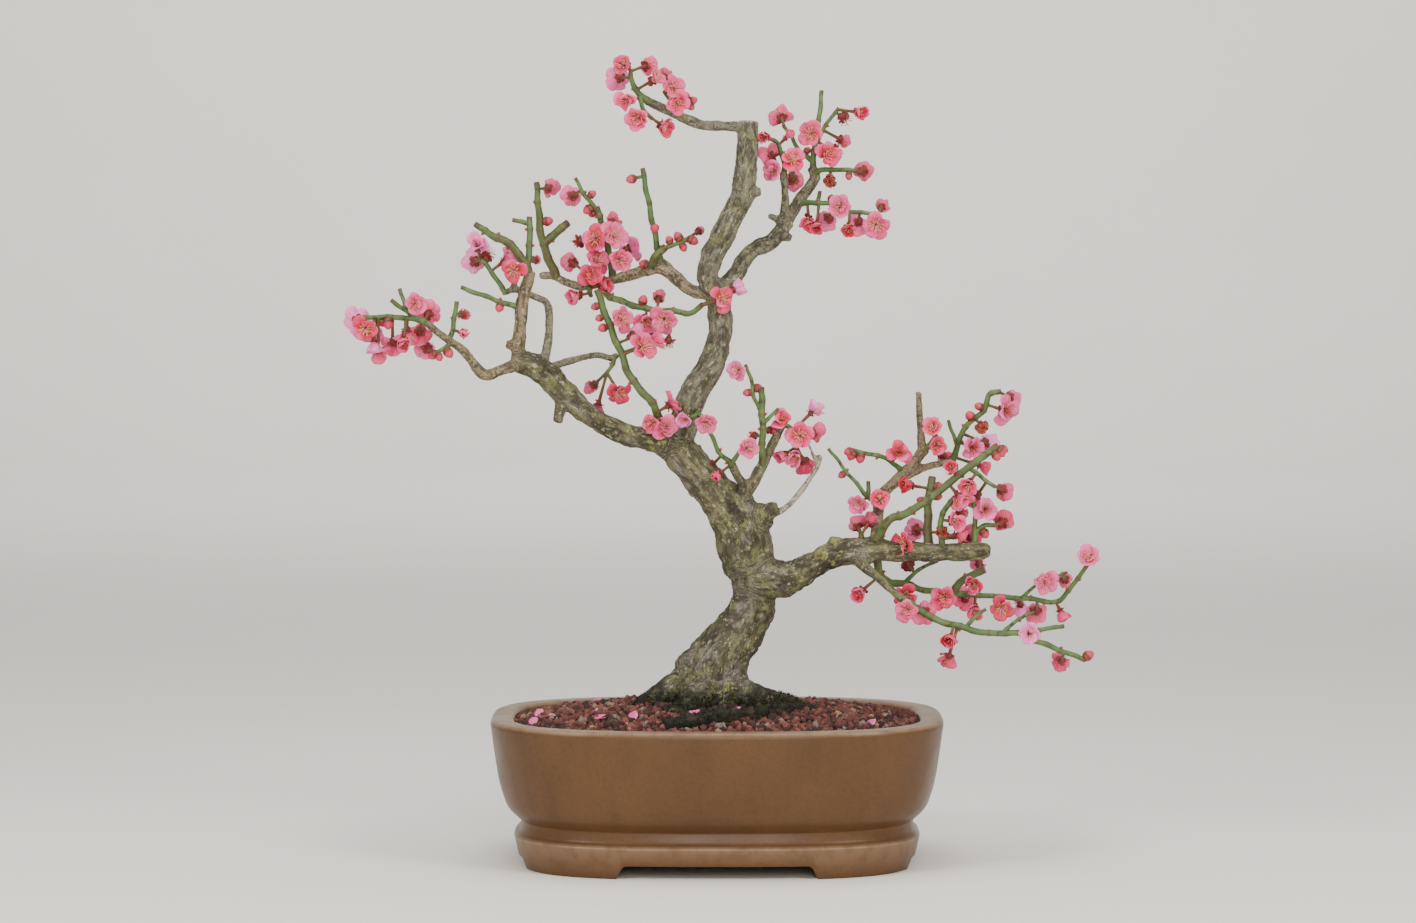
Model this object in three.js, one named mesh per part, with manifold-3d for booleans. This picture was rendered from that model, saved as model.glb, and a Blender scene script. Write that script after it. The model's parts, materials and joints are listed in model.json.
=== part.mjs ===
// Japanese apricot bonsai in flower, standing in an oval brown glazed pot.
// Millimetres, +Z up, front towards -Y.
import * as THREE from 'three';
import { mergeVertices } from 'three/addons/utils/BufferGeometryUtils.js';
import Module from 'manifold-3d';

const wasm = await Module();
wasm.setup();

// Clearance kept between neighbouring pieces
const GAP = 0.3;

// Pot: a rounded rectangle in plan, given by its half sizes and the power of its curve
const POT_HALF_WIDTH = 158.5;
const POT_HALF_DEPTH = 113.5;
const POT_PLAN_POWER = 3;
const POT_PLAN_SIDES = 24;
const POT_EVEN_WALL_RADIUS = 118;
const POT_HEIGHT = 103;
const POT_FLOOR_TOP = 18;
const POT_FLOOR_BOTTOM = 11;
const FOOT_RING_INSIDE = 126;
// Section of the pot wall, as half width and height, from the middle of the underside
// round the outside, over the rim and down the inside to the middle of the floor
const POT_SECTION = [
  [0, POT_FLOOR_BOTTOM], [FOOT_RING_INSIDE, POT_FLOOR_BOTTOM], [FOOT_RING_INSIDE, 0], [137.5, 0],
  [142.5, 22], [141, 26.5], [136.3, 30.5], [147, 41], [152.5, 57], [156, 80], [158.5, 99],
  [157, 102.2], [153.5, POT_HEIGHT], [144.5, POT_HEIGHT], [142, 101], [142, 70], [128, 34],
  [119, POT_FLOOR_TOP], [0, POT_FLOOR_TOP],
];
// First point of the section that lies inside the rim
const POT_INSIDE_FROM = 14;
const FOOT_GAP_FRONT = { below: 138, above: 128, height: 9.5 };
const FOOT_GAP_SIDE = { below: 92, above: 84, height: 8 };
const DRAIN_HOLE_RADIUS = 10;
const DRAIN_HOLE_SIDES = 12;
const DRAIN_HOLE_OFFSET = 62;

// Drainage screens: square plastic mesh laid over each hole
const SCREEN_SIZE = 34;
const SCREEN_THICKNESS = 1.4;
const SCREEN_OPENING = 10;
const SCREEN_PITCH = 7;

// Soil: gravel heaped from the rim up to the trunk
const SOIL_EDGE_HEIGHT = 97;
const SOIL_MOUND = 15;
const SOIL_HALF_WIDTH = 142;
const SOIL_RINGS = 7;
const SOIL_OVERLAP = 1.05;
const SOIL_SEED = 4111;
const GRAVEL_RELIEF = 3.2;
const GRAVEL_ROUGHNESS = 1.4;
const PETAL_LENGTH = 9;
const PETAL_WIDTH = 7;
const PETAL_THICKNESS = 1.6;
// Fallen petals on the gravel, as x and depth
const FALLEN_PETALS = [
  [-123, -12], [-110, -18], [-87, -22], [-126, -46], [-85, -52], [-62, -52], [-50, -11],
  [-47, -4], [-41, 42], [-64, 52], [-17, 14], [-15, -53], [104, -49], [12, -50], [70, 48],
  [-90, 60],
];

// The tree is laid out as seen by an eye in front of the pot. Stations give x and z in the
// upright plane through the middle of the pot, then the depth behind that plane.
const EYE = { x: -6.3, z: 429, distance: 2753 };

// Wood. Each branch is a list of stations: x, z, depth, diameter.
const TRUNK_SIDES = 8;
const LIMB_SIDES = 6;
const BRANCH_SIDES = 5;
const TWIG_SIDES = 4;
const BARK_RELIEF = 0.07;
const WOOD = [
  { sides: TRUNK_SIDES, stations: [
    [-6, 80, 0, 58], [-5, 108, 0, 60], [-4, 126, 0, 54], [1, 141, 1, 45], [13, 157, 3, 36],
    [20, 169, 4, 34], [25.5, 184, 5, 32], [25, 200, 5, 32], [19, 221, 3, 38], [18, 233, 2, 40],
    [10, 247, 1, 35], [-6, 263, -1, 28], [-22, 283, -2, 26], [-36, 295, -4, 19]] },
  // Surface roots
  { sides: BRANCH_SIDES, stations: [[-8, 130, -4, 30], [-40, 114, -11, 21], [-66, 96, -20, 9]] },
  { sides: BRANCH_SIDES, stations: [[6, 124, -10, 26], [26, 115, -22, 18], [50, 109, -22, 13], [72, 97, -16, 8]] },
  { sides: BRANCH_SIDES, stations: [[-4, 124, -12, 26], [-16, 113, -32, 18], [-34, 98, -46, 10]] },
  { sides: BRANCH_SIDES, stations: [[-2, 126, 10, 28], [14, 115, 32, 20], [30, 98, 48, 11]] },
  { sides: BRANCH_SIDES, stations: [[-6, 124, 10, 26], [-28, 114, 24, 18], [-48, 98, 34, 10]] },
  // Knots on the trunk
  { sides: BRANCH_SIDES, stations: [[22, 240, 0, 26], [33, 241, -4, 21], [38, 241, -6, 13]] },
  { sides: TWIG_SIDES, stations: [[32, 244, -6, 12], [39, 248, -8, 9], [42, 249, -9, 6]] },
  { sides: TWIG_SIDES, stations: [[6, 222, 0, 16], [0, 222, -2, 10]] },
  // Lower right limb
  { sides: LIMB_SIDES, stations: [
    [24, 200, 1, 30], [38, 198, -3, 30], [48, 198, -6, 27], [58, 202, -8, 21], [72, 210, -12, 18],
    [88, 217, -15, 19.6], [107, 219, -18, 18], [122, 218.5, -21, 14.6], [155, 217, -24, 13],
    [187, 218, -26, 11.5], [192, 218, -26, 7]] },
  { sides: TWIG_SIDES, stations: [[82, 220, -16, 11], [83, 228, -17, 7]] },
  // Left limb from the fork
  { sides: LIMB_SIDES, stations: [
    [-28, 292, -3, 20], [-52, 297, -10, 17], [-71, 303, -16, 15.5], [-89, 313, -22, 15.5],
    [-108, 330, -28, 17.5], [-124, 345.5, -32, 18.5], [-137, 350, -34, 17], [-144, 351, -35, 12]] },
  { sides: TWIG_SIDES, stations: [[-107, 328, -28, 9], [-110, 316, -31, 8.4], [-111.5, 308, -32, 7.6]] },
  // Stub rising from the knot of the left limb
  { sides: BRANCH_SIDES, stations: [
    [-140, 348, -34, 11], [-139, 362, -35, 10], [-136, 393, -34, 9], [-130, 414, -26, 8.4]] },
  { sides: TWIG_SIDES, stations: [[-140, 362, -35, 9], [-148, 363, -37, 6]] },
  // Grey elbow branch
  { sides: TWIG_SIDES, stations: [
    [-121, 350, -31, 7.5], [-117.5, 373, -23, 6], [-118.5, 391, -16, 5.6],
    [-127, 396, -14, 5.2], [-141.5, 401.5, -12, 4.6], [-149, 398.5, -12, 4.2]] },
  { sides: TWIG_SIDES, stations: [[-142, 401, -12, 4.6], [-141.5, 412, -8, 4]] },
  // Far left branch
  { sides: BRANCH_SIDES, stations: [
    [-138, 350, -35, 10], [-154, 344, -45, 8], [-164, 342, -52, 7.6], [-177, 358, -60, 6.5],
    [-191, 368, -64, 5.6], [-205, 379, -68, 4.8]] },
  // Grey branch across the gap
  { sides: TWIG_SIDES, stations: [
    [-118, 346, -30, 7], [-106, 350.5, -19, 5.6], [-85, 355.5, -3, 5.1], [-74, 353, 4, 5],
    [-69.5, 356, 6, 4.6]] },
  // Upright limb from the fork to the pruned crown
  { sides: LIMB_SIDES, stations: [
    [-28, 294, -3, 22], [-23.5, 306, -2, 20.5], [-19, 322.5, 0, 19.6], [-10, 340, 3, 19.6],
    [-1, 356, 5, 18.2], [2.5, 376, 4, 17], [0.5, 395, 3, 17.5], [-7, 410.5, 0, 15.6],
    [-3.5, 424.5, -2, 16.8], [12, 456, -4, 16.8], [19, 472, -4, 16.6], [21.7, 519, -2, 14.6]] },
  { sides: TWIG_SIDES, stations: [[20, 469, -4, 10], [31, 469.5, -6, 6.5]] },
  // Crown branch towards the left
  { sides: BRANCH_SIDES, stations: [
    [20, 515, -3, 8.4], [-3, 515.5, -12, 7.5], [-16, 518, -18, 7.3], [-50.5, 533.5, -33, 6]] },
  // Rear left branch with its knotty cluster
  { sides: BRANCH_SIDES, stations: [
    [-3, 398, 3, 11], [-19, 401.5, 10, 8.6], [-38.5, 417.5, 18, 11.5], [-50, 414.5, 23, 8.6],
    [-89, 404, 34, 6.5], [-103, 405.5, 38, 6], [-116, 411, 42, 6], [-124, 410.5, 44, 5.6]] },
  // Rear right branch and its two arms
  { sides: BRANCH_SIDES, stations: [
    [-1, 398, 4, 14], [11, 409, 8, 12.6], [23, 427, 16, 11.4], [38.5, 435, 24, 11], [50, 449, 30, 9.8]] },
  { sides: TWIG_SIDES, stations: [[46, 439, 27, 8], [52, 437, 25, 6]] },
  { sides: TWIG_SIDES, stations: [[47, 446, 29, 7.6], [47.5, 468, 23, 6.3], [46, 484, 20, 5.8]] },
  { sides: TWIG_SIDES, stations: [[46, 449, 29, 5.5], [36, 453, 24, 4.2]] },
  { sides: TWIG_SIDES, stations: [
    [48, 447, 30, 9], [58, 464, 42, 8.4], [68.5, 479, 50, 7.6], [66, 487, 52, 7]] },
  // Riser from the lower right limb, with its side arm and a dead tip
  { sides: BRANCH_SIDES, stations: [
    [112, 218, -18, 10], [114, 252, -3, 8.6], [119, 261, 3, 8.4], [137, 279, 13, 8], [146, 290, 18, 7.6]] },
  { sides: TWIG_SIDES, stations: [
    [122, 264, 6, 7.5], [141, 275, 16, 6.4], [167, 282, 28, 5.6]] },
  { sides: TWIG_SIDES, stations: [[144, 286, 17, 6.4], [141, 330, 22, 4.8]] },
  // Little branches above the trunk's elbow
  { sides: TWIG_SIDES, stations: [[18, 238, -6, 12], [18, 248, -9, 9.5], [20, 268, -12, 7.6]] },
  { sides: TWIG_SIDES, stations: [[19, 264, -11, 7], [14.5, 270, -13, 6.6], [10.5, 279, -15, 6.3]] },
  { sides: TWIG_SIDES, stations: [
    [19, 257, -10, 9], [26.5, 268, -9, 8], [34.5, 284, -5, 7], [43.5, 302.5, -1, 6.2]] },
  // Pale deadwood twig
  { sides: TWIG_SIDES, stations: [
    [33, 240, -6, 6.5], [51, 251, -2, 4.4], [70.5, 277, 8, 3.8], [72, 286, 10, 3.4]] },
  { sides: TWIG_SIDES, stations: [[70.5, 278, 8, 3], [65, 291, 14, 2.6], [56.5, 310, 22, 2.2]] },
  // Low right branch
  { sides: TWIG_SIDES, stations: [
    [95, 214, -20, 8], [114, 198, -36, 6.2], [130, 184, -42, 5.4]] },
];

// Flower forms as fractions of the bloom's radius. Shoulders are the two outer corners of a
// petal, half its angle to either side of its middle, and valleys lie between petals.
const OPEN = { petals: 5, size: 21, shoulder: 0.96, rise: 0.3, half: 21, valley: 0.44, valleyRise: -0.02 };
const CUP = { petals: 3, size: 17.5, shoulder: 0.76, rise: 0.86, half: 34, valley: 0.5, valleyRise: 0.22 };
const TIGHT = { petals: 3, size: 13, shoulder: 0.52, rise: 1.25, half: 36, valley: 0.6, valleyRise: 0.4 };
const SPENT = { petals: 3, size: 12, shoulder: 0.9, rise: 0.5, half: 20, valley: 0.4, valleyRise: 0.05 };
const FORMS = { open: OPEN, cup: CUP, tight: TIGHT, spent: SPENT };
// Shares of the radius: how far a bloom stands off its stem at least, and its calyx at most
const LEAST_REACH = 0.6;
const CALYX_REACH = 1.6;
const FORWARD_LEAN = 0.8;
// Roots go this share of the stem's radius past its axis, and keep off its end
const ROOT_SHARE = 0.6;
const STEM_END_INSET = 1.6;
const STALK_DIAMETER = 2.6;
const STALK_SIDES = 3;
const STALK_SHARE = 0.75;
const BUD_SIZE = 5.6;
const BUD_SIDES = 4;
const BUD_RINGS = 2;
const BUD_STRETCH = 1.3;
const BUD_SEAT = 2.2;
const SPRAY_SEED = 7001;
const FORWARD_RANGE = [-14, 13];
const FORWARD_TRIES = 16;
const SIZE_VARIATION = 0.08;

// Sprays: green shoots with their blooms. Stems are stations as above, the first one rooted in
// the wood. Blooms are x, z, and where it matters how far they stand forward of their stem.
const SPRAYS = {
  far_left_tip: {
    stems: [
      [[-205, 379, -68, 4.4], [-214, 381, -71, 3.8], [-225, 382, -73, 3.6], [-248, 382, -76, 3]],
      [[-211, 381, -70, 3.6], [-217, 386, -72, 3.4], [-228, 394, -75, 3]],
      [[-217, 386, -72, 3.2], [-222, 402, -70, 2.8]]],
    open: [[-251, 380], [-246, 375, 8], [-227, 364], [-212, 391, 9], [-202, 384], [-217, 375], [-208, 372]],
    cup: [[-239, 373], [-240, 365], [-237, 359], [-219, 366]],
    buds: [[-234, 379], [-230, 378]],
  },
  far_left_low: {
    stems: [[[-186, 364, -63, 3.8], [-191, 360, -66, 3.2], [-197, 357, -68, 2.6]]],
    open: [[-203, 360]],
    buds: [[-199, 355], [-194, 353], [-188, 357]],
  },
  far_left_mid: {
    stems: [[[-188, 366, -63, 4], [-185, 373, -62, 3.6], [-182, 393, -59, 3.2]]],
    cup: [[-178, 384]],
    tight: [[-178, 371]],
  },
  left_elbow: {
    stems: [
      [[-148, 398, -12, 4], [-155, 410, -10, 3.6], [-162, 419, -8, 3.4], [-167, 423, -8, 3]]],
    open: [[-169, 421], [-167, 431], [-149, 421]],
    spent: [[-161, 424]],
  },
  left_stub_low: {
    stems: [[[-137, 388, -34, 4.4], [-152, 393, -38, 3.6], [-166, 398, -42, 3.4], [-179, 403, -45, 3]]],
    buds: [[-152, 389]],
  },
  left_stub_top: {
    stems: [
      [[-131, 411, -27, 7], [-137, 424, -30, 6.5], [-148, 435, -34, 6], [-159, 440, -38, 5], [-169, 447, -42, 4.2]],
      [[-133, 417, -28, 5], [-131, 430, -25, 4.6], [-131, 445, -23, 4.4], [-131, 452, -22, 4]],
      [[-131, 447, -23, 3.6], [-143, 450, -25, 3]]],
    open: [[-141, 415, 8]],
    tight: [[-127, 422]],
  },
  left_rear: {
    stems: [
      [[-112, 409, 41, 7], [-118, 424, 38, 6.5], [-123, 440, 34, 6], [-126, 476, 26, 4.2]],
      [[-120, 434, 36, 6], [-110, 443, 34, 5.8], [-104, 448, 32, 5.4]]],
    cup: [[-118, 472]],
    buds: [[-119, 449]],
  },
  left_inner: {
    stems: [
      [[-73, 408, 30, 5.8], [-75, 424, 26, 5.2], [-79, 440, 21.5, 4.9], [-84, 459, 17, 4.6]],
      [[-84, 456, 18, 3.4], [-94, 470, 14, 3], [-99, 479, 12, 2.6]]],
    open: [[-101, 467], [-73, 438, 8], [-62, 429], [-69, 422], [-84, 437, 7]],
    cup: [[-73, 448]],
    spent: [[-96, 435]],
    buds: [[-87, 468], [-93, 455], [-86, 455]],
  },
  left_inner_low: {
    stems: [[[-89, 404, 33, 4.6], [-90, 411, 27, 3.6], [-95, 416, 23, 3]]],
    open: [[-101, 420], [-85, 420, 6], [-88, 411, 8]],
  },
  left_inner_under: {
    stems: [[[-90, 405, 34, 4.4], [-89, 399, 27, 3.6], [-88, 397, 23, 3.2]]],
    cup: [[-81, 404, 5], [-97, 397, 5]],
  },
  cluster_upright: {
    stems: [
      [[-39, 416, 19, 5.4], [-42, 433, 15, 4.4], [-46, 453, 11, 4], [-50, 474, 7, 3.8], [-52, 486, 6, 3.4]],
      [[-52, 480, 7, 2.6], [-58, 479, 6, 2.2]]],
    buds: [[-61, 478], [-44, 444]],
  },
  cluster_side: {
    stems: [
      [[-46, 416, 20, 6.2], [-44, 423, 10, 5.8], [-36, 431, 6, 5.4]],
      [[-37, 430, 6, 3.4], [-26, 434, 5, 2.8], [-19, 438, 4, 2.6]]],
    tight: [[-13, 442]],
    buds: [[-32, 432], [-27, 438], [-22, 428], [-14, 434], [-51, 419]],
  },
  front_riser: {
    stems: [[
      [-37, 304, -6, 6.4], [-42, 315, -18, 5.8], [-47, 324, -24, 5.6], [-60, 339, -28, 5.4],
      [-66, 354, -28, 5.2], [-75, 376, -26, 5], [-84, 401, -20, 4.6]]],
    open: [[-68, 380, 7], [-59, 368], [-53, 361], [-43, 309, 6], [-36, 305, 8], [-34, 320, -1]],
    cup: [[-46, 365]],
    buds: [[-86, 389], [-83, 381], [-78, 375, 6]],
  },
  centre_bridge: {
    stems: [[
      [-81, 403, 32, 5.2], [-74, 396, 20, 5], [-50, 388, 1, 4.6], [-29, 386, -6, 4.4],
      [-18, 385, -10, 4], [-10, 391, -14, 3.6]]],
    open: [[-50, 380, 5], [-37, 381, 8], [-47, 371], [2, 394, 9]],
    cup: [[11, 401], [-41, 395]],
    spent: [[-34, 365]],
    buds: [[-52, 393]],
  },
  left_limb_low: {
    stems: [[[-72, 354, 4, 3.6], [-73, 349, 2, 3], [-78, 342, -2, 2.8]]],
    open: [[-70, 331, 7]],
    cup: [[-86, 335], [-83, 321]],
  },
  fork_right: {
    stems: [
      [[-15, 316, -4, 5], [-13, 314, -15, 3.8], [-8, 311, -19, 3]],
      [[-13, 314, -15, 3.6], [-20, 311, -17, 3]]],
    open: [[-8, 309, 7]],
    cup: [[-22, 310, 7]],
  },
  elbow_left: {
    stems: [
      [[11, 277, -14, 5], [8, 281, -16, 3.8], [2, 287, -18, 3.4], [-6, 303, -22, 3]],
      [[10, 279, -15, 3.4], [17, 290, -17, 2.8]]],
    open: [[20, 290, 6]],
    tight: [[-3, 279], [1, 272]],
  },
  elbow_upright: {
    stems: [
      [[32, 278, -8, 5.4], [31.5, 288, -11, 5], [32, 302, -13, 4.8], [31, 333, -17, 4.6]],
      [[31.5, 314, -14, 3.4], [26, 326, -17, 3], [24, 337, -19, 2.8], [20, 349, -20, 2.6]],
      [[32, 307, -13, 3], [43, 318, -11, 2.4]]],
    open: [[16, 345, 5]],
    tight: [[26, 299], [37, 303, -6]],
    buds: [[21, 329], [27, 332]],
  },
  elbow_right: {
    stems: [
      [[42.5, 300, -1, 5.2], [47, 306, 2, 4], [54, 303, 4, 3.4], [61, 296, 5, 3]],
      [[53, 303, 4, 3.2], [56, 290, 5, 2.8]]],
    open: [[46, 309, 6], [58, 299, 7], [67, 300]],
    cup: [[48, 286, 5], [61, 281], [54, 285, 9], [66, 315]],
  },
  crown_left_tip: {
    stems: [
      [[-46, 531.5, -31, 5.8], [-53, 536, -35, 5], [-60, 548, -38, 3.3], [-60, 555, -39, 2.6]],
      [[-54, 536.5, -35, 3.8], [-52, 528, -41, 3.2], [-45, 520, -42, 2.8]]],
    open: [[-68, 549], [-64, 557], [-50, 557], [-45, 547, 6], [-62, 533], [-53, 522, 5]],
    cup: [[-39, 516, 4]],
  },
  crown_left_mid: {
    stems: [
      [[-31, 525, -24, 4.8], [-32, 532, -28, 3.6], [-37, 540, -31, 3]],
      [[-32, 531, -28, 3], [-19, 532, -29, 2.4]]],
    open: [[-31, 541, 6], [-28, 531, 8]],
    cup: [[-36, 549]],
    buds: [[-22, 540], [-17, 533], [-17, 527]],
  },
  crown_right_tips: {
    stems: [
      [[67, 483, 51, 5.4], [67, 491, 52, 4.2], [71, 519, 54, 3.6], [73, 540, 56, 3]],
      [[67, 490, 52, 3.8], [58, 498, 50, 3.2], [51, 509, 48, 2.8], [46, 516, 46, 2.6]],
      [[68.5, 502, 53, 3.4], [76, 516, 52, 2.8], [85, 528, 50, 2.6]]],
    open: [[45, 521], [66, 510, 10], [76, 495, 8]],
    cup: [[86, 506], [98, 525]],
    spent: [[88, 521], [82, 498]],
    buds: [[62, 497]],
  },
  crown_right_side: {
    stems: [[[67, 481, 50, 4.8], [75, 485, 46, 3.6], [98, 484, 42, 3.2]]],
    open: [[102, 484]],
    spent: [[79, 477]],
    buds: [[92, 479]],
  },
  crown_right_inner: {
    stems: [
      [[46, 481, 20, 5.2], [47, 488, 20, 3.8], [43, 502, 18, 3], [36, 507, 16, 2.6]],
      [[46.5, 489, 20, 3.2], [54, 482, 24, 2.8]]],
    open: [[52, 491, 7], [41, 495, -3], [40, 484, 8], [53, 478]],
    cup: [[33, 507]],
    tight: [[48, 507]],
  },
  crown_right_low: {
    stems: [
      [[55, 461, 40, 5.2], [66, 462, 36, 3.8], [79, 461, 34, 3.4], [90, 456, 32, 3.2], [114, 454, 30, 2.8]],
      [[70, 462, 36, 3.2], [72, 470, 35, 2.8]]],
    open: [[64, 451, 5], [78, 451], [86, 459, 8], [99, 448], [111, 447]],
    cup: [[70, 447], [92, 445], [115, 459]],
    buds: [[80, 466]],
  },
  riser_left: {
    stems: [[[131, 273, 10, 4.6], [124, 279, 4, 3.6], [119, 283, 0, 3.4], [95, 289, -6, 3]]],
    open: [[127, 286, 6]],
    buds: [[92, 281], [82, 285], [100, 281]],
  },
  riser_low: {
    stems: [
      [[114, 250, -1, 4.4], [106, 256, -8, 3.4], [93, 271, -11, 2.8], [78, 290, -13, 2.4]],
      [[106, 256, -8, 3.4], [106, 267, -9, 3]]],
    open: [[101, 252, 6], [114, 253, 9]],
    buds: [[87, 271]],
  },
  limb_top: {
    stems: [[[101, 222, -17, 5], [101, 231, -20, 3.6]]],
    cup: [[99, 235], [106, 237, -5]],
  },
  riser_tip: {
    stems: [[[145, 288, 17, 5], [150, 294, 13, 3.8], [154, 300, 11, 3.2]]],
    open: [[152, 303, 5], [153, 292, 7]],
    cup: [[158, 285]],
  },
  riser_right: {
    stems: [
      [[165, 281, 27, 5.2], [168, 290, 25, 4.4], [174, 305, 22, 4.2], [188, 317, 20, 4]],
      [[187, 316, 20, 4.2], [191, 328, 18, 4.2], [199, 330, 17, 4]],
      [[168, 292, 25, 3], [162, 310, 24, 2.4]]],
    open: [[178, 291, 8], [188, 294], [200, 317, 6]],
    cup: [[205, 326], [184, 278]],
    spent: [[186, 305]],
    buds: [[182, 320], [178, 312]],
  },
  limb_front: {
    stems: [
      [[112, 226, -23, 6.4], [121, 240, -31, 6], [132, 244, -35, 5.8], [152, 257, -35, 5.4],
        [174, 275, -31, 5.2], [197, 292, -27, 5]],
      [[177, 276, -30, 3.2], [195, 263, -32, 2.6]]],
    open: [[177, 266, 6], [169, 257, 4], [200, 261]],
    cup: [[182, 257], [166, 274, 5]],
    buds: [[197, 283], [203, 287], [209, 286], [206, 279]],
  },
  limb_upright: {
    stems: [[[148, 218, -22, 7], [148, 238, -14, 6], [148, 252, -8, 5.8], [151, 270, -2, 5.4]]],
    open: [[140, 233], [133, 223, 5]],
    cup: [[136, 264]],
    spent: [[158, 231]],
    buds: [[140, 254], [155, 263], [158, 256]],
  },
  limb_forked: {
    stems: [[[158, 219, -26, 4.6], [157, 232, -29, 4.2], [158, 244, -31, 4], [167, 256, -33, 3.8]]],
    open: [[165, 239, 6], [175, 228]],
    cup: [[167, 229], [170, 246]],
  },
  limb_tip: {
    stems: [
      [[180, 219, -26, 4.6], [181, 232, -25, 3.8], [181, 245, -24, 3.6], [179, 256, -23, 3.4]],
      [[181, 231, -25, 3.6], [188, 236, -27, 3.4], [195, 236, -28, 3.2]]],
    open: [[187, 247, 6], [200, 238]],
    buds: [[190, 227]],
  },
  low_right_inner: {
    stems: [
      [[111, 216, -16, 6.4], [115, 201, -8, 5.8], [121, 196, 0, 5.4], [132, 195, 6, 5],
        [149, 190, 12, 4.6], [196, 186, 20, 3.8]],
      [[131, 195, 5, 3.4], [142, 205, 2, 2.8], [155, 211, 0, 2.4]],
      [[165, 188, 15, 5.6], [172, 197, 12, 5.6], [188, 205, 9, 5.4]]],
    open: [[133, 188, 6], [160, 186, 8], [174, 185]],
    cup: [[102, 190], [179, 195], [184, 209], [181, 178]],
    spent: [[134, 208]],
  },
  low_right_outer: {
    stems: [
      [[194, 186, 20, 4], [222, 184, 20, 3.6], [238, 182, 18, 3.5], [246, 189, 16, 3.5], [260, 208, 12, 3]],
      [[214, 185, 20, 2.8], [226, 195, 22, 2.2], [246, 203, 24, 2]]],
    open: [[200, 179, 8], [224, 176], [230, 196], [260, 210, 4]],
    cup: [[213, 182], [240, 178], [244, 198]],
  },
  low_right_front: {
    stems: [
      [[128, 186, -41, 5.4], [142, 177, -44, 5], [153, 170, -46, 4.8], [177, 163, -49, 4.5],
        [191, 160, -50, 4.3], [212, 160, -50, 4.2], [226, 154, -48, 4], [259, 141, -44, 3.4]],
      [[210, 160, -50, 3.6], [230, 163, -52, 3.2], [244, 165, -54, 3]],
      [[174, 163.5, -49, 3], [183, 173, -51, 2.6], [189, 177, -52, 2.4]],
      [[200, 160, -50, 3], [212, 170, -52, 2.4], [223, 175, -53, 2.2]]],
    open: [[135, 178, 6], [146, 175], [219, 160, 7]],
    cup: [[164, 157], [163, 144], [242, 141]],
    buds: [[262, 145]],
  },
};

const COLOURS = {
  glaze: [0x78543a, 0.35],
  gravel: [0x7a4a3c, 0.95],
  screen: [0x2a2c2a, 0.6],
  bark: [0x6a6054, 0.9],
  blossom: [0xe85f8c, 0.6],
};

// Repeatable random numbers from 0 to 1
function randomFrom(seed) {
  const modulus = 2147483647;
  let state = seed % modulus;
  return () => {
    state = (state * 16807) % modulus;
    return state / modulus;
  };
}

function toSolid(geometry) {
  const plain = geometry.clone();
  for (const name of Object.keys(plain.attributes)) {
    if (name !== 'position') {
      plain.deleteAttribute(name);
    }
  }
  const welded = mergeVertices(plain, 1e-4);
  const triVerts = [];
  const index = welded.index.array;
  for (let i = 0; i < index.length; i += 3) {
    const [a, b, c] = [index[i], index[i + 1], index[i + 2]];
    if (a !== b && b !== c && c !== a) {
      triVerts.push(a, b, c);
    }
  }
  const mesh = new wasm.Mesh({
    numProp: 3,
    vertProperties: new Float32Array(welded.attributes.position.array),
    triVerts: new Uint32Array(triVerts),
  });
  return new wasm.Manifold(mesh);
}

function toGeometry(solid) {
  const mesh = solid.getMesh();
  const geometry = new THREE.BufferGeometry();
  geometry.setAttribute('position', new THREE.BufferAttribute(new Float32Array(mesh.vertProperties), 3));
  geometry.setIndex(new THREE.BufferAttribute(new Uint32Array(mesh.triVerts), 1));
  geometry.computeVertexNormals();
  return geometry;
}

function joinAll(solids) {
  return solids.reduce((whole, solid) => whole.add(solid));
}

// The body of largest volume, without the scraps that a cut leaves beside it
function largestBody(solid) {
  return solid.decompose().reduce((best, body) => (body.volume() > best.volume() ? body : best));
}

function indexed(positions, triangles) {
  const geometry = new THREE.BufferGeometry();
  geometry.setAttribute('position', new THREE.Float32BufferAttribute(positions, 3));
  geometry.setIndex(triangles);
  return geometry;
}

function boxSolid(size, place) {
  return toSolid(new THREE.BoxGeometry(...size).translate(...place));
}

// Moves a place in the picture plane to its true place at a depth behind the plane
function placeAt(x, z, depth) {
  const scale = 1 + depth / EYE.distance;
  return new THREE.Vector3(EYE.x + (x - EYE.x) * scale, depth, EYE.z + (z - EYE.z) * scale);
}

// Point of the rounded-rectangle plan at a half width and an angle
function planPoint(halfWidth, angle) {
  const inset = POT_HALF_WIDTH - POT_HALF_DEPTH;
  const halfDepth = halfWidth - inset * Math.min(1, halfWidth / POT_EVEN_WALL_RADIUS);
  const power = 2 / POT_PLAN_POWER;
  const along = Math.sign(Math.cos(angle)) * Math.abs(Math.cos(angle)) ** power;
  const across = Math.sign(Math.sin(angle)) * Math.abs(Math.sin(angle)) ** power;
  return [halfWidth * along, halfDepth * across];
}

// A turned section reshaped to the rounded-rectangle plan
function planBody(section) {
  const step = (2 * Math.PI) / POT_PLAN_SIDES;
  const turned = new THREE.LatheGeometry(section.map(([r, z]) => new THREE.Vector2(r, z)), POT_PLAN_SIDES);
  turned.rotateX(Math.PI / 2);
  const position = turned.attributes.position;
  for (let i = 0; i < position.count; i += 1) {
    const radius = Math.hypot(position.getX(i), position.getY(i));
    const angle = Math.round(Math.atan2(position.getY(i), position.getX(i)) / step) * step;
    position.setXY(i, ...planPoint(radius, angle));
  }
  return toSolid(turned);
}

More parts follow.
